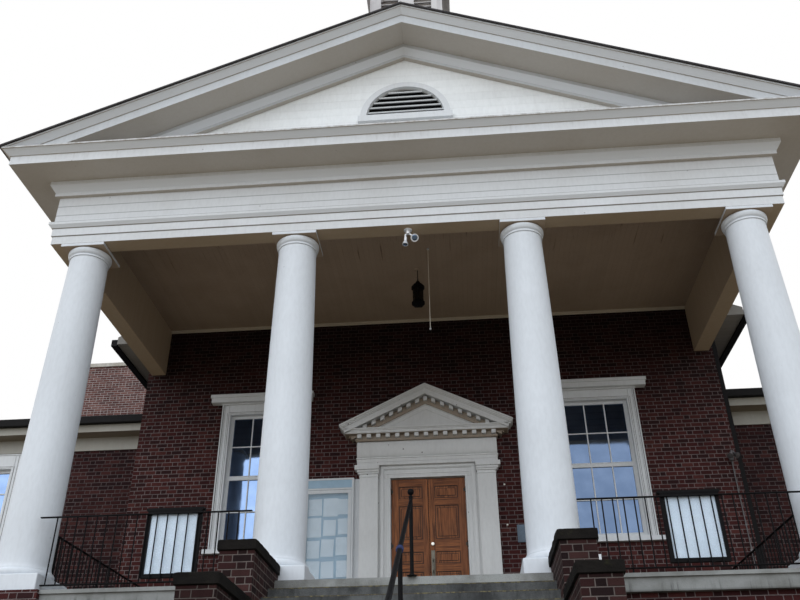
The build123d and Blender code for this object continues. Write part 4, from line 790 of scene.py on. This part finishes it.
def sash_bars(kind):
    front, back, meeting_half = 0.0615, 0.0822, 0.033
    parts = []
    for low, high in ((glass_low, kind["meeting"] - meeting_half), (kind["meeting"] + meeting_half, kind["glass_top"])):
        for x in (-glass_half / 3, glass_half / 3):
            parts.append(slab((x - 0.011, front, low), (x + 0.011, back, high)))
        middle = (low + high) / 2
        parts.append(slab((-glass_half, front + 0.001, middle - 0.011), (glass_half, back, middle + 0.011)))
        for x in (-glass_half, glass_half):
            parts.append(slab((x - 0.008, front - 0.006, low), (x + 0.008, back, high)))
        for z in (low, high):
            parts.append(slab((-glass_half, front - 0.006, z - 0.008), (glass_half, back, z + 0.008)))
    return bevelled(joined("bars", parts), 0.004, 1)


def casing_trim(kind):
    """A back band outside, a bead inside and a drip line under the cap."""
    top, capped, inner = kind["top"], kind["capped"], 0.64
    parts = []
    for side in (-1, 1):
        for x, wide, proud in ((casing_half - 0.011, 0.022, 0.058), (casing_half - 0.060, 0.012, 0.047),
                               (inner + 0.010, 0.020, 0.052)):
            parts.append(slab((side * x - wide / 2, -proud, casing_low), (side * x + wide / 2, -0.038, top)))
    last = (top - 0.012, 0.024, 0.075, casing_half + 0.01) if capped else (top - 0.011, 0.022, 0.058, casing_half)
    for z, tall_by, proud, reach in ((kind["head"] + 0.010, 0.020, 0.052, inner + 0.02), last):
        parts.append(slab((-reach, -proud, z - tall_by / 2), (reach, -0.038, z + tall_by / 2)))
    return bevelled(joined("trim", parts), 0.005, 2)


def casing_quirk_shadows(kind):
    """Dark lines in the corners of the casing: painted shadow where the mouldings meet."""
    head, top = kind["head"], kind["top"]
    parts = []
    for side in (-1, 1):
        for x, z in ((0.748, top), (0.722, top), (0.664, head + 0.024), (0.641, head)):
            parts.append(slab((side * x - 0.004, -0.0415, casing_low), (side * x + 0.004, -0.030, z)))
    for z, reach in ((head + 0.026, 0.664), (head + 0.003, 0.64),
                     (top - 0.003, casing_half if kind["capped"] else 0.748)):
        parts.append(slab((-reach, -0.0415, z - 0.004), (reach, -0.030, z + 0.004)))
    return joined("quirks", parts)


# ---- Belfry: louvre slats in its openings
def make_belfry_slats():
    low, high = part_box("belfry")
    half, post, count = 0.690, 0.15, 11
    z0, z1 = low.z + 0.18, low.z + 1.65 - 0.18
    opening = half - 0.21 - post
    middle = post + opening / 2
    slats = []
    for i in range(count):
        slat = slab((-opening / 2, -0.005, -0.055), (opening / 2, 0.005, 0.055))
        slats.append(placed(slat, at(0, 0.036, z0 + (i + 0.5) * (z1 - z0) / count) @ spin(-38, "X")))
    one = bevelled(joined("slats", slats), 0.003, 1)
    places = [at(0, (low.y + high.y) / 2) @ spin(90 * quarter) @ at(x, -half)
              for quarter in range(4) for x in (-middle, middle)]
    dressed("belfry_slats", spread(one, places), cupola_paint)


# ---- Hanging lantern: a six-sided iron cage with a stepped cap
def make_lantern():
    low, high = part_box("lantern")
    x, y = (low.x + high.x) / 2, (low.y + high.y) / 2
    top, cap_z, six = high.z, high.z - 0.22, math.radians(30)
    parts = [
        turned([(0.012, -0.205), (0.0075, -0.195), (0.0075, -0.02), (0.014, -0.012)], x, y, top, 12),
        turned([(0.118, -0.131), (0.066, -0.116), (0.054, -0.104), (0.050, -0.070), (0.036, -0.040), (0.012, -0.020),
                (0.010, 0.012)], x, y, cap_z, 6, six),
        turned([(0.100, -0.205), (0.118, -0.200), (0.118, -0.132), (0.104, -0.128)], x, y, cap_z, 6, six),
        turned([(0.012, -0.560), (0.024, -0.548), (0.080, -0.530), (0.116, -0.520), (0.116, -0.455), (0.098, -0.450)],
               x, y, cap_z, 6, six),
    ]
    for i in range(6):
        (px, py), (nx, ny) = ((math.cos(angle), math.sin(angle))
                              for angle in (math.radians(60 * i) + six, math.radians(60 * i + 60) + six))
        parts.append(rod((x + 0.098 * px, y + 0.098 * py, cap_z - 0.50),
                         (x + 0.102 * px, y + 0.102 * py, cap_z - 0.135), 0.007, 8))
        for z, reach in ((-0.28, 0.101), (-0.37, 0.100)):
            parts.append(rod((x + reach * px, y + reach * py, cap_z + z), (x + reach * nx, y + reach * ny, cap_z + z),
                             0.004, 8))
    dressed("lantern_cage", parts, iron, replaces="lantern", edge=(0.0015, 1))
    rose = turned([(0.030, -0.020), (0.052, -0.014), (0.062, -0.004), (0.062, 0.0)], x, y, top)
    dressed("lantern_rose", rose, ceiling_paint, angle=35)
    glass = turned([(0.090, -0.500), (0.099, -0.145)], x, y, cap_z, 6, six)
    dressed("lantern_panes", glass, lantern_glass)


# ---- Twin floodlight under the front beam, and the lamp on the wall
def lamp_heads(places):
    """Shells and lenses of lamp heads, one pair at each place."""
    shell = turned([(0.016, -0.085), (0.024, -0.080), (0.026, -0.020), (0.022, -0.008), (0.026, 0.010), (0.038, 0.035),
                    (0.048, 0.060), (0.052, 0.076), (0.052, 0.084), (0.046, 0.084)], segments=28)
    lens = turned([(0.044, 0.070), (0.044, 0.080), (0.034, 0.086), (0.016, 0.089)], segments=28)
    return spread(smooth(shell), places), spread(smooth(lens), places)


def make_floodlights():
    x, y = 0.0, y_col - 0.19
    shells, lenses = lamp_heads([
        at(x + right, y + out, beam_z + up) @ facing_way(aim) @ Matrix.Scale(size, 4)
        for aim, (right, out, up), size in (((-0.05, -0.12, -1.0), (-0.040, 0.0, -0.195), 0.85),
                                            ((0.05, -0.80, -0.60), (0.098, -0.03, -0.165), 1.15))])
    shells += [smooth(turned([(0.044, -0.024), (0.060, -0.016), (0.062, -0.004), (0.058, 0.0)], x, y, beam_z, 28)),
               smooth(turned([(0.030, -0.075), (0.034, -0.060), (0.034, -0.030), (0.022, -0.016)], x, y, beam_z, 24))]
    for x0, z0, x1, z1, radius in ((0.0, 0.055, -0.038, 0.085, 0.012), (-0.038, 0.080, -0.040, 0.140, 0.016),
                                   (0.0, 0.055, 0.092, 0.130, 0.013)):
        shells.append(rod((x + x0, y, beam_z - z0), (x + x1, y, beam_z - z1), radius))
    dressed("twin_floodlight", shells, silver, replaces="floodlights", angle=35)
    dressed("floodlight_lenses", lenses, lamp_face)


def make_wall_lamp():
    x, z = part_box("main_side_walls")[1].x - 0.11, terrace_z
    parts = [rod((x, y_wall - 0.014, z), (x, y_wall - 0.014, z + 2.92), 0.010),
             bevelled(slab((x - 0.04, y_wall - 0.05, z + 2.90), (x + 0.04, y_wall, z + 3.00)), 0.006),
             rod((x, y_wall - 0.04, z + 2.96), (x, y_wall - 0.13, z + 3.0), 0.012),
             bevelled(slab((x - 0.025, y_wall - 0.030, z + 1.30), (x + 0.025, y_wall, z + 1.36)), 0.004)]
    for rise in (0.35, 0.95, 1.75, 2.35):
        clip = slab((x - 0.022, y_wall - 0.027, z + rise), (x + 0.022, y_wall, z + rise + 0.02))
        parts.append(bevelled(clip, 0.003))
    shells, lenses = lamp_heads([at(x + aim[0] * 0.06, y_wall - 0.14, z + 2.985) @ facing_way(aim)
                                 for aim in ((-0.45, -0.6, -0.75), (0.5, -0.55, -0.75))])
    dressed("wall_lamp", parts + shells + lenses, lamp_metal)


# ---- Notice case: sheets of plain paper on a blue board, a title strip, and a board that fills the gap beside it
def make_notices():
    low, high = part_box("notice_case")
    x0, x1 = low.x + 0.045, high.x - 0.045
    back = high.y - 0.016
    board = slab((x0, back - 0.004, low.z + 0.06), (x1, back, terrace_z + 2.56))
    dressed("notice_board", board, paper_blue, edge=(0.001, 1))
    strip = slab((x0 - 0.01, low.y + 0.008, terrace_z + 2.635), (x1 + 0.01, low.y + 0.0115, high.z - 0.032))
    dressed("title_strip", strip, paper_blue, edge=(0.001, 1))
    sheets = []
    for i, (nudge, rise, wide, tall_by) in enumerate((
            (0.02, 2.16, 0.24, 0.30), (0.02, 2.14, 0.26, 0.33), (0.00, 2.17, 0.21, 0.28),
            (0.00, 1.78, 0.26, 0.34), (0.03, 1.80, 0.22, 0.28), (0.02, 1.82, 0.22, 0.28),
            (0.02, 1.42, 0.22, 0.30), (0.00, 1.44, 0.22, 0.30), (-0.01, 1.46, 0.24, 0.31),
            (0.01, 1.06, 0.24, 0.31), (0.01, 1.08, 0.22, 0.28), (0.01, 1.09, 0.22, 0.28),
            (0.00, 0.76, 0.22, 0.26), (0.02, 0.76, 0.24, 0.27), (0.00, 0.77, 0.22, 0.26))):
        left = x0 + 0.03 + i % 3 * 0.268 + nudge
        deselect()
        bpy.ops.mesh.primitive_grid_add(x_subdivisions=4, y_subdivisions=6, size=1)
        sheet = bpy.context.object
        sheet.scale = (wide, tall_by, 1)
        sheet.rotation_euler = (math.pi / 2, math.radians((i * 37 % 5) - 2), 0)
        sheet.location = (left + wide / 2, back - 0.007, terrace_z + rise + tall_by / 2)
        set_down(sheet)
        lift = 0.004 + 0.006 * (i * 7 % 3)
        for point in sheet.data.vertices:
            down = 1 - (point.co.z - terrace_z - rise) / tall_by
            point.co.y -= lift * max(0.0, down) ** 3
        sheets.append(sheet)
    papers = joined("notice_papers", sheets)
    pick(papers)
    thick = papers.modifiers.new("thickness", "SOLIDIFY")
    thick.thickness = 0.0006
    bpy.ops.object.modifier_apply(modifier=thick.name)
    dressed("notice_papers", papers, paper_white)


def make_filler():
    low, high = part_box("notice_case")
    top = high.z - 0.01
    parts = [bevelled(slab((high.x - 0.003, y_wall - 0.045, low.z), (-1.212, y_wall, top)), 0.004),
             bevelled(slab((high.x + 0.030, y_wall - 0.052, low.z), (high.x + 0.052, y_wall, top)), 0.004)]
    dressed("case_filler", parts, trim_paint)


# ---- Display cases behind the front railings: pale panel, glass and a moulded hood
def make_display_cases():
    low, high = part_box("display_cases")
    backs, panes, trims = [], [], []
    half = 0.34
    inner, front, top = half - 0.045, low.y, high.z
    z0, z1 = low.z + 0.045, top - 0.03 - 0.045
    for x in (low.x + 0.025 + half, high.x - 0.025 - half):
        backs.append(slab((x - inner, front + 0.024, z0), (x + inner, front + 0.029, z1)))
        panes.append(slab((x - inner, front + 0.008, z0), (x + inner, front + 0.012, z1)))
        for reach, z, rise in ((0.012, top - 0.042, 0.012), (0.022, top - 0.030, 0.012)):
            trims.append(slab((x - half - reach, front - 0.004, z), (x + half + reach, front + 0.004, z + rise)))
        for side in (-1, 1):
            edge = x + side * (inner + 0.004)
            trims.append(slab((edge - 0.004, front - 0.004, z0 - 0.008), (edge + 0.004, front + 0.006, z1 + 0.008)))
        for z in (z0 - 0.008, z1):
            trims.append(slab((x - inner, front - 0.004, z), (x + inner, front + 0.006, z + 0.008)))
    dressed("case_panels", backs, paper_white, edge=(0.001, 1))
    dressed("case_panes", panes, case_pane)
    dressed("case_trims", trims, iron, edge=(0.0015, 1))


# ---- Yellow stripe on the nosing of each step
def make_nosing_stripes():
    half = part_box("entrance_steps")[1].x - 0.02
    parts = []
    for i in range(1, 16):
        y, z = nose_y - i * tread, terrace_z - i * riser
        parts.append(slab((-half, y - 0.0015, z - 0.011), (half, y + 0.030, z + 0.0015)))
    parts.append(slab((-half, nose_y - 0.0015, terrace_z - 0.140), (half, nose_y + 0.002, terrace_z - 0.118)))
    dressed("nosing_stripes", parts, stripe, edge=(0.0008, 1))


# ---- Handrail: a pipe a little askew down the stair, on three posts with flanges, a collar and a ball
def make_handrail():
    y_top, z_top = y_col - 0.610, terrace_z + 0.86
    reach, lean = 4.37, 0.019

    def on_rail(down):
        return Vector((lean * down, y_top - down, z_top - riser / tread * down))

    end, run = on_rail(reach), on_rail(reach) - on_rail(0)
    parts = [rod(on_rail(0), end, 0.022, 24),
             turned([(0.022, 0.0), (0.022, 0.855), (0.022, 0.90), (0.027, 0.905), (0.027, 0.915), (0.016, 0.922),
                     (0.015, 0.930), (0.024, 0.938), (0.034, 0.950), (0.039, 0.966), (0.039, 0.978), (0.034, 0.992),
                     (0.022, 1.003), (0.010, 1.009)], 0, y_top, terrace_z, 24)]
    feet = [(0.0, y_top, terrace_z)]
    for count in (8, 14):
        top = on_rail(y_top - (nose_y - count * tread + tread / 2))
        foot = terrace_z - count * riser
        parts.append(rod((top.x, top.y, foot), tuple(top), 0.021, 24))
        feet.append((top.x, top.y, foot))
    stop = turned([(0.006, -0.012), (0.018, -0.008), (0.022, 0.0), (0.022, 0.03)], segments=24)
    parts.append(placed(stop, at(*end) @ facing_way(-run)))
    for x, y, z in feet:
        parts.append(turned([(0.055, 0.0), (0.055, 0.007), (0.032, 0.011), (0.027, 0.024)], x, y, z, 28))
    dressed("stair_rail", parts, iron, replaces="stair_handrail", angle=35)
    collar = smooth(turned([(0.023, -0.050), (0.031, -0.046), (0.035, -0.024), (0.029, -0.016), (0.029, 0.016),
                            (0.035, 0.024), (0.031, 0.046), (0.023, 0.050)], segments=24))
    placed(collar, at(*on_rail(y_top - feet[1][1] + 0.03)) @ facing_way(run))
    dressed("handrail_collar", collar, collar_paint)


# ---- Door handle: cylinder, grip with thumb piece
def make_door_hardware():
    x, y, z = 0.056, y_wall + 0.020, terrace_z
    lock = smooth(turned([(0.030, 0.0), (0.030, 0.010), (0.024, 0.016), (0.010, 0.018)], segments=28))
    placed(lock, at(x, y - 0.0175, z + 1.61) @ spin(90, "X"))
    dressed("lock_cylinder", lock, lock_metal, "right_leaf")
    plate = bevelled(slab((x - 0.033, y - 0.009, z + 1.05), (x + 0.033, y - 0.0005, z + 1.505)), 0.004, 2)
    thumb = smooth(turned([(0.011, 0.0), (0.013, 0.008), (0.007, 0.020), (0.011, 0.034), (0.009, 0.040)], segments=20))
    placed(thumb, at(x, y - 0.008, z + 1.36) @ spin(90, "X"))
    points = [(x, y - out, z + rise) for out, rise in ((0.010, 1.12), (0.036, 1.135), (0.050, 1.17), (0.052, 1.23),
                                                      (0.046, 1.29), (0.030, 1.32), (0.010, 1.33))]
    grip = [rod(start, end, 0.010, 16) for start, end in zip(points, points[1:])]
    dressed("door_handle", [plate, thumb] + grip, plate_metal, "right_leaf", angle=35)


# ---- Entrance surround: casing, pilasters, pulvinated frieze and a pediment with dentils
def raked(x0, x1, drop, tall_by, depth, start=0.0):
    """A member under both slopes of the door pediment, with plumb ends."""
    apex, pitch = terrace_z + 4.517, 0.483
    made = []
    for side in (-1, 1):
        low, high = sorted((side * x0, side * x1))
        piece = slab((low, y_wall - depth, -drop - tall_by), (high, y_wall - start, -drop))
        lean = Matrix.Identity(4)
        lean[2][0], lean[2][3] = -side * pitch, apex
        made.append(placed(piece, lean))
    return made


def make_surround():
    z = terrace_z
    wood, dentil_shade_bands = [], []

    def board(x0, x1, depth, z0, z1, both=True, width=0.004, segments=2):
        for side in (-1, 1) if both else (1,):
            low, high = sorted((side * x0, side * x1))
            wood.append(bevelled(slab((low, y_wall - depth, z + z0), (high, y_wall, z + z1)), width, segments))

    # Backings in the darker brown paint, as painted shade behind the dentils and mouldings.
    def backing(half, depth, z0, z1):
        dentil_shade_bands.append(slab((-half, y_wall - depth, z + z0), (half, y_wall, z + z1)))

    leaf_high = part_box("right_door")[1]
    half, head = leaf_high.x + 0.012, leaf_high.z + 0.012 - z
    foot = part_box("door_surround")[0].z - z
    for inner, outer, low, high, depth in ((half, 0.850, head, 3.02, 0.034),
                                           (half, half + 0.026, head, head + 0.026, 0.050),
                                           (half + 0.075, half + 0.090, head + 0.075, head + 0.090, 0.044),
                                           (0.784, 0.800, 2.950, 2.968, 0.050), (0.796, 0.850, 2.964, 3.020, 0.066)):
        board(inner, outer, depth, foot, low, width=0.003)
        board(-outer, outer, depth, low, high, False, 0.003)
    for x0, x1, depth, z0, z1, width, segments in (
            (0.848, 0.892, 0.038, foot, 3.02, 0.004, 2), (0.888, 1.219, 0.130, foot, 3.02, 0.006, 2),
            (0.876, 1.244, 0.155, foot, foot + 0.14, 0.006, 2),
            (0.882, 1.232, 0.145, foot + 0.14, foot + 0.18, 0.016, 4),
            (0.880, 1.229, 0.141, 2.800, 2.816, 0.005, 2), (0.872, 1.244, 0.150, 2.855, 2.885, 0.008, 3),
            (0.868, 1.270, 0.165, 2.885, 2.935, 0.018, 4), (0.863, 1.309, 0.180, 2.935, 3.020, 0.006, 2)):
        board(x0, x1, depth, z0, z1, True, width, segments)
    for half, depth, z0, z1, width, segments in (
            (1.270, 0.126, 3.02, 3.16, 0.003, 2), (1.270, 0.136, 3.075, 3.16, 0.003, 2),
            (1.285, 0.150, 3.135, 3.162, 0.008, 3), (1.268, 0.118, 3.16, 3.51, 0.002, 2)):
        board(-half, half, depth, z0, z1, False, width, segments)
    swell = rod((-1.270, 0, 0), (1.270, 0, 0), 1.0, 40)
    wood.append(placed(swell, at(0, y_wall - 0.116, z + 3.316) @ Matrix.Diagonal((1.0, 0.055, 0.152, 1.0))))
    backing(1.295, 0.165, 3.472, 3.488)
    backing(1.305, 0.172, 3.486, 3.512)
    for i in range(15):
        x = -1.227 + i * (2.454 / 14)
        dentil = slab((x - 0.039, y_wall - 0.226, z + 3.520), (x + 0.039, y_wall - 0.14, z + 3.592))
        wood.append(bevelled(dentil, 0.004, 1))
    backing(1.283, 0.150, 3.508, 3.594)
    backing(1.49, 0.245, 3.588, 3.600)
    board(-1.500, 1.500, 0.262, 3.592, 3.640, False, 0.003)
    board(-1.515, 1.515, 0.275, 3.640, 3.665, False, 0.008, 3)
    board(-1.545, 1.545, 0.292, 3.660, 3.690, False, 0.006, 3)
    for x1, drop, tall_by, depth, width in ((1.587, 0.0, 0.040, 0.346, 0.008), (1.572, 0.038, 0.030, 0.332, 0.010),
                                            (1.555, 0.066, 0.020, 0.312, 0.004), (1.500, 0.084, 0.116, 0.292, 0.004),
                                            (1.500, 0.150, 0.050, 0.304, 0.004), (1.240, 0.340, 0.018, 0.140, 0.004)):
        wood += [bevelled(piece, width, 2) for piece in raked(0.0, x1, drop, tall_by, depth)]
    wood += raked(0.0, 1.250, 0.350, 0.48, 0.118)
    wood += [bevelled(piece, 0.003, 1) for piece in raked(0.0, 0.92, 0.430, 0.012, 0.124, 0.1)]
    dentil_shade_bands += raked(0.0, 1.420, 0.192, 0.090, 0.150) + raked(0.0, 1.380, 0.276, 0.066, 0.166)
    for i in range(8):
        x = 0.150 + i * 0.163
        wood += [bevelled(piece, 0.004, 1) for piece in raked(x - 0.037, x + 0.037, 0.196, 0.072, 0.226, 0.14)]
    wood.append(bevelled(slab((-0.035, y_wall - 0.22, z + 4.22), (0.035, y_wall - 0.12, z + 4.30)), 0.004, 1))
    dressed("entrance_surround", wood, surround_paint, replaces="door_surround", angle=30)
    dressed("dentil_backing", dentil_shade_bands, dentil_shade_paint, edge=(0.002, 1))


# ---- Cheek caps: stone blocks with worn, uneven edges
def make_caps():
    edge_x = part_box("cheek_caps")[1].x
    blocks = []
    for side in (-1, 1):
        x0, x1 = sorted((side * edge_x, side * (edge_x - 0.430)))
        back = y_col - 0.415
        for stage in range(4):
            front, top = y_col - 1.650 - stage * 4 * tread, terrace_z + 0.200 - stage * 4 * riser
            block = slab((x0, front, top - 0.115), (x1, back, top))
            pick(block)
            bpy.ops.object.mode_set(mode="EDIT")
            bpy.ops.mesh.select_all(action="SELECT")
            bpy.ops.mesh.subdivide(number_cuts=14)
            bpy.ops.object.mode_set(mode="OBJECT")
            for point in block.data.vertices:
                co = point.co
                shift = noise_of(co * 6.0) * 0.012 + noise_of(co * 19.0) * 0.007
                inward = sum(abs(v - edge) < 1e-4 for v, edges in zip(co, ((x0, x1), (front, back), (top - 0.115, top)))
                             for edge in edges)
                middle = Vector(((x0 + x1) / 2, co.y * 0.7 + (front + back) * 0.15, top - 0.0575))
                pull = (middle - co).normalized() * ((inward - 1) * 0.010 + abs(shift)) if inward else Vector()
                point.co = co + pull
            blocks.append(smooth(block, 50))
            back = front + 0.030
    dressed("worn_caps", blocks, cap_stone, replaces="cheek_caps")


# ---- Porch railings: thin bars that run into the columns
def make_railings():
    y, foot, top, side_x, bar_r = y_col - 0.30, terrace_z + 0.075, terrace_z + 0.914, 4.82, 0.0085
    rails, bars = [], []
    for side in (-1, 1):
        for z0, z1, near, far in ((top - 0.014, top, 1.975, 4.66), (foot, foot + 0.014, 2.09, 4.50)):
            x0, x1 = sorted((side * near, side * far))
            rails.append(slab((x0, y - 0.019, z0), (x1, y + 0.019, z1)))
            x = side * side_x
            rails.append(slab((x - 0.019, y_col + 0.20, z0), (x + 0.019, y_wall, z1)))
        for i in range(19):
            x = side * (2.14 + i * 2.30 / 18)
            bars.append(rod((x, y, foot), (x, y, top - 0.005), bar_r, 8))
        x = side * side_x
        for i in range(31):
            back = y_col + 0.435 + i * (y_wall - y_col - 0.435) / 31
            bars.append(rod((x, back, foot), (x, back, top - 0.005), bar_r, 8))
        for back in (y_col + 0.60, (y_col + y_wall) / 2 + 0.22, y_wall - 0.5):
            bars.append(rod((x, back, terrace_z), (x, back, top), 0.013, 12))
        for x in (side * 2.52, side * 3.80):
            bars.append(rod((x, y, terrace_z), (x, y, foot + 0.01), 0.011, 12))
    parts = [bevelled(joined("rails", rails), 0.003, 2), smooth(joined("bars", bars))]
    dressed("railing_bars", parts, iron, replaces="porch_railings")


# ---- Lunette: six broad slats before a black sheet of painted shade
def make_lunette():
    low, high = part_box("lunette_louvre")
    half, rise = (high.x - low.x) / 2 + 0.004, high.z - low.z + 0.004
    slats = []
    for i in range(6):
        z = low.z + rise * (0.035 + i * 0.163)
        wide = half * math.sqrt(1 - ((z + 0.03 - low.z) / rise) ** 2)
        slats.append(placed(slab((-wide, -0.020, -0.011), (wide, 0.020, 0.011)),
                            at(0, low.y + 0.032, z + 0.012) @ spin(26, "X")))
    slats.append(slab((-half * 0.985, low.y + 0.004, low.z - 0.004), (half * 0.985, low.y + 0.022, low.z + 0.014)))
    dressed("lunette_slats", slats, trim_paint, edge=(0.003, 2))
    # Painted shade: a black sheet stands for the dark inside behind the slats.
    shade_sheet = turned([(half + 0.01, -0.006), (half + 0.01, 0.006)], segments=64)
    placed(shade_sheet, at(0, low.y + 0.074, low.z) @ Matrix.Diagonal((1, 1, rise / half, 1)) @ spin(90, "X"))
    for point in shade_sheet.data.vertices:
        point.co.z = max(point.co.z, low.z)
    dressed("lunette_shade_sheet", shade_sheet, iron, replaces="lunette_louvre")


# ---- Porch: a bed moulding where the ceiling meets the brick
def make_porch_moulding():
    low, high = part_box("portico_ceiling")
    parts = [slab((low.x, high.y - proud, low.z - drop - tall_by), (high.x, high.y, low.z - drop))
             for proud, drop, tall_by in ((0.055, 0.0, 0.022), (0.032, 0.022, 0.030))]
    dressed("porch_moulding", parts, moulding_paint, edge=(0.008, 3))


# ---- Small fixings: a box on the right railing, two pale screw heads by the door surround
def make_small_fixings():
    x, y, z = 2.135, y_col - 0.30, terrace_z
    parts = [bevelled(slab((x - 0.045, y - 0.040, z + 0.180), (x + 0.040, y - 0.006, z + 0.245)), 0.007, 3),
             rod((x, y - 0.020, z + 0.14), (x, y - 0.020, z + 0.18), 0.010)]
    dressed("railing_box", parts, trim_paint)
    head = turned([(0.016, 0.0), (0.016, 0.006), (0.010, 0.011), (0.004, 0.012)], segments=20)
    heads = spread(head, [at(1.36, y_wall, z + rise) @ spin(90, "X") for rise in (2.62, 1.90)])
    dressed("wall_screws", heads, lock_metal, angle=35)


# ---- Pull cord from the ceiling, with a bead at its end
def make_pull_cord():
    x, y, top, length = 0.221, y_col + 1.743, ceiling_z - 0.025, 1.56
    curve = bpy.data.curves.new("pull_cord_line", "CURVE")
    curve.dimensions = "3D"
    spline = curve.splines.new("NURBS")
    heights = (0.0, 0.08, 0.5, 1.0, 1.46, length)
    spline.points.add(len(heights) - 1)
    for point, drop in zip(spline.points, heights):
        point.co = (x, y, top - drop, 1.0)
    spline.order_u = 3
    spline.use_endpoint_u = True
    curve.bevel_depth = 0.006
    curve.bevel_resolution = 3
    cord = bpy.data.objects.new("pull_cord_line", curve)
    bpy.context.scene.collection.objects.link(cord)
    curve.materials.append(cord_cotton)
    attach(cord, "building")
    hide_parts("pull_cord")
    bead = turned([(0.004, -0.030), (0.014, -0.026), (0.018, -0.012), (0.012, 0.004), (0.008, 0.014)],
                  x, y, top - length, 24)
    bead = dressed("cord_bead", bead, trim_paint, angle=35)


make_pull_cord()
make_columns()
on_windows("window_bars", sash_bars, trim_paint)
make_belfry_slats()
make_lantern()
make_floodlights()
make_wall_lamp()
make_notices()
make_display_cases()
make_nosing_stripes()
make_handrail()
make_door_hardware()
on_windows("casing_mouldings", casing_trim, trim_paint)
on_windows("casing_quirk_shadows", casing_quirk_shadows, quirk_shadow_paint, (0.001, 1))
make_surround()
make_caps()
make_railings()
make_lunette()
make_filler()
make_porch_moulding()
make_small_fixings()


# ---- Floor, light and camera
def make_stage():
    deselect()
    bpy.ops.mesh.primitive_plane_add(size=400, location=(0, 0, -0.002))
    floor = bpy.context.object
    floor.name = "studio_floor"
    g = new_material("studio_floor")
    pale = g.mixed(g.step(g.noise(0.5, 3.0), 0.3, 0.7), (0.80, 0.80, 0.79, 1), (0.78, 0.78, 0.77, 1))
    seen = g.add("LightPath", out="Is Camera Ray")
    floor.data.materials.append(g.finish(g.mixed(seen, (0.27, 0.225, 0.165, 1), pale), 0.9))


def make_light():
    """A soft dome, brighter above, that shows white, and a wide soft lamp from the front."""
    world = bpy.data.worlds.new("soft_studio")
    bpy.context.scene.world = world
    world.use_nodes = True
    world.node_tree.nodes.clear()
    g = Graph(world.node_tree)
    dome = g.step(g.split(g.add("TexCoord", out="Generated"))[2], -0.15, 0.22, 0.35, 1.25)
    camera, glossy, clear = (g.add("LightPath", out=f"Is {ray} Ray") for ray in ("Camera", "Glossy", "Transmission"))
    shown = g.most(camera, g.most(glossy, clear))
    light = g.add("Background", {"Color": g.mixed(shown, (0.94, 1.0, 1.07, 1), (1.0, 1.0, 1.0, 1)),
                                 "Strength": g.blend(shown, dome, 1.0)})
    g.node("ShaderNodeOutputWorld", {"Surface": light})
    lamp = bpy.data.lights.new("soft_front", "SUN")
    lamp.energy = 0.8
    lamp.angle = math.radians(50)
    lamp.color = (0.96, 0.99, 1.03)
    sun = bpy.data.objects.new("soft_front", lamp)
    sun.rotation_euler = Vector((-0.35, -1.0, 0.46)).to_track_quat("Z", "Y").to_euler()
    bpy.context.scene.collection.objects.link(sun)


def make_camera():
    data = bpy.data.cameras.new("viewpoint")
    camera = bpy.data.objects.new("viewpoint", data)
    bpy.context.scene.collection.objects.link(camera)
    data.sensor_width = 36.0
    data.lens = 37.469
    data.clip_end = 500.0
    pitch, heading, roll = (math.radians(v) for v in (30.8875, 4.2782, -0.6875))
    ahead = Vector((-math.sin(heading) * math.cos(pitch), math.cos(heading) * math.cos(pitch), math.sin(pitch)))
    right = Vector((math.cos(heading), math.sin(heading), 0))
    up = right.cross(ahead)
    across = right * math.cos(roll) + up * math.sin(roll)
    upright = up * math.cos(roll) - right * math.sin(roll)
    camera.matrix_world = at(0.6222, y_col - 10.2497, terrace_z - 2.1495) @ Matrix(
        (across, upright, -ahead)).transposed().to_4x4()
    bpy.context.scene.camera = camera


make_stage()
make_light()
make_camera()
bpy.context.scene.view_settings.view_transform = "Standard"
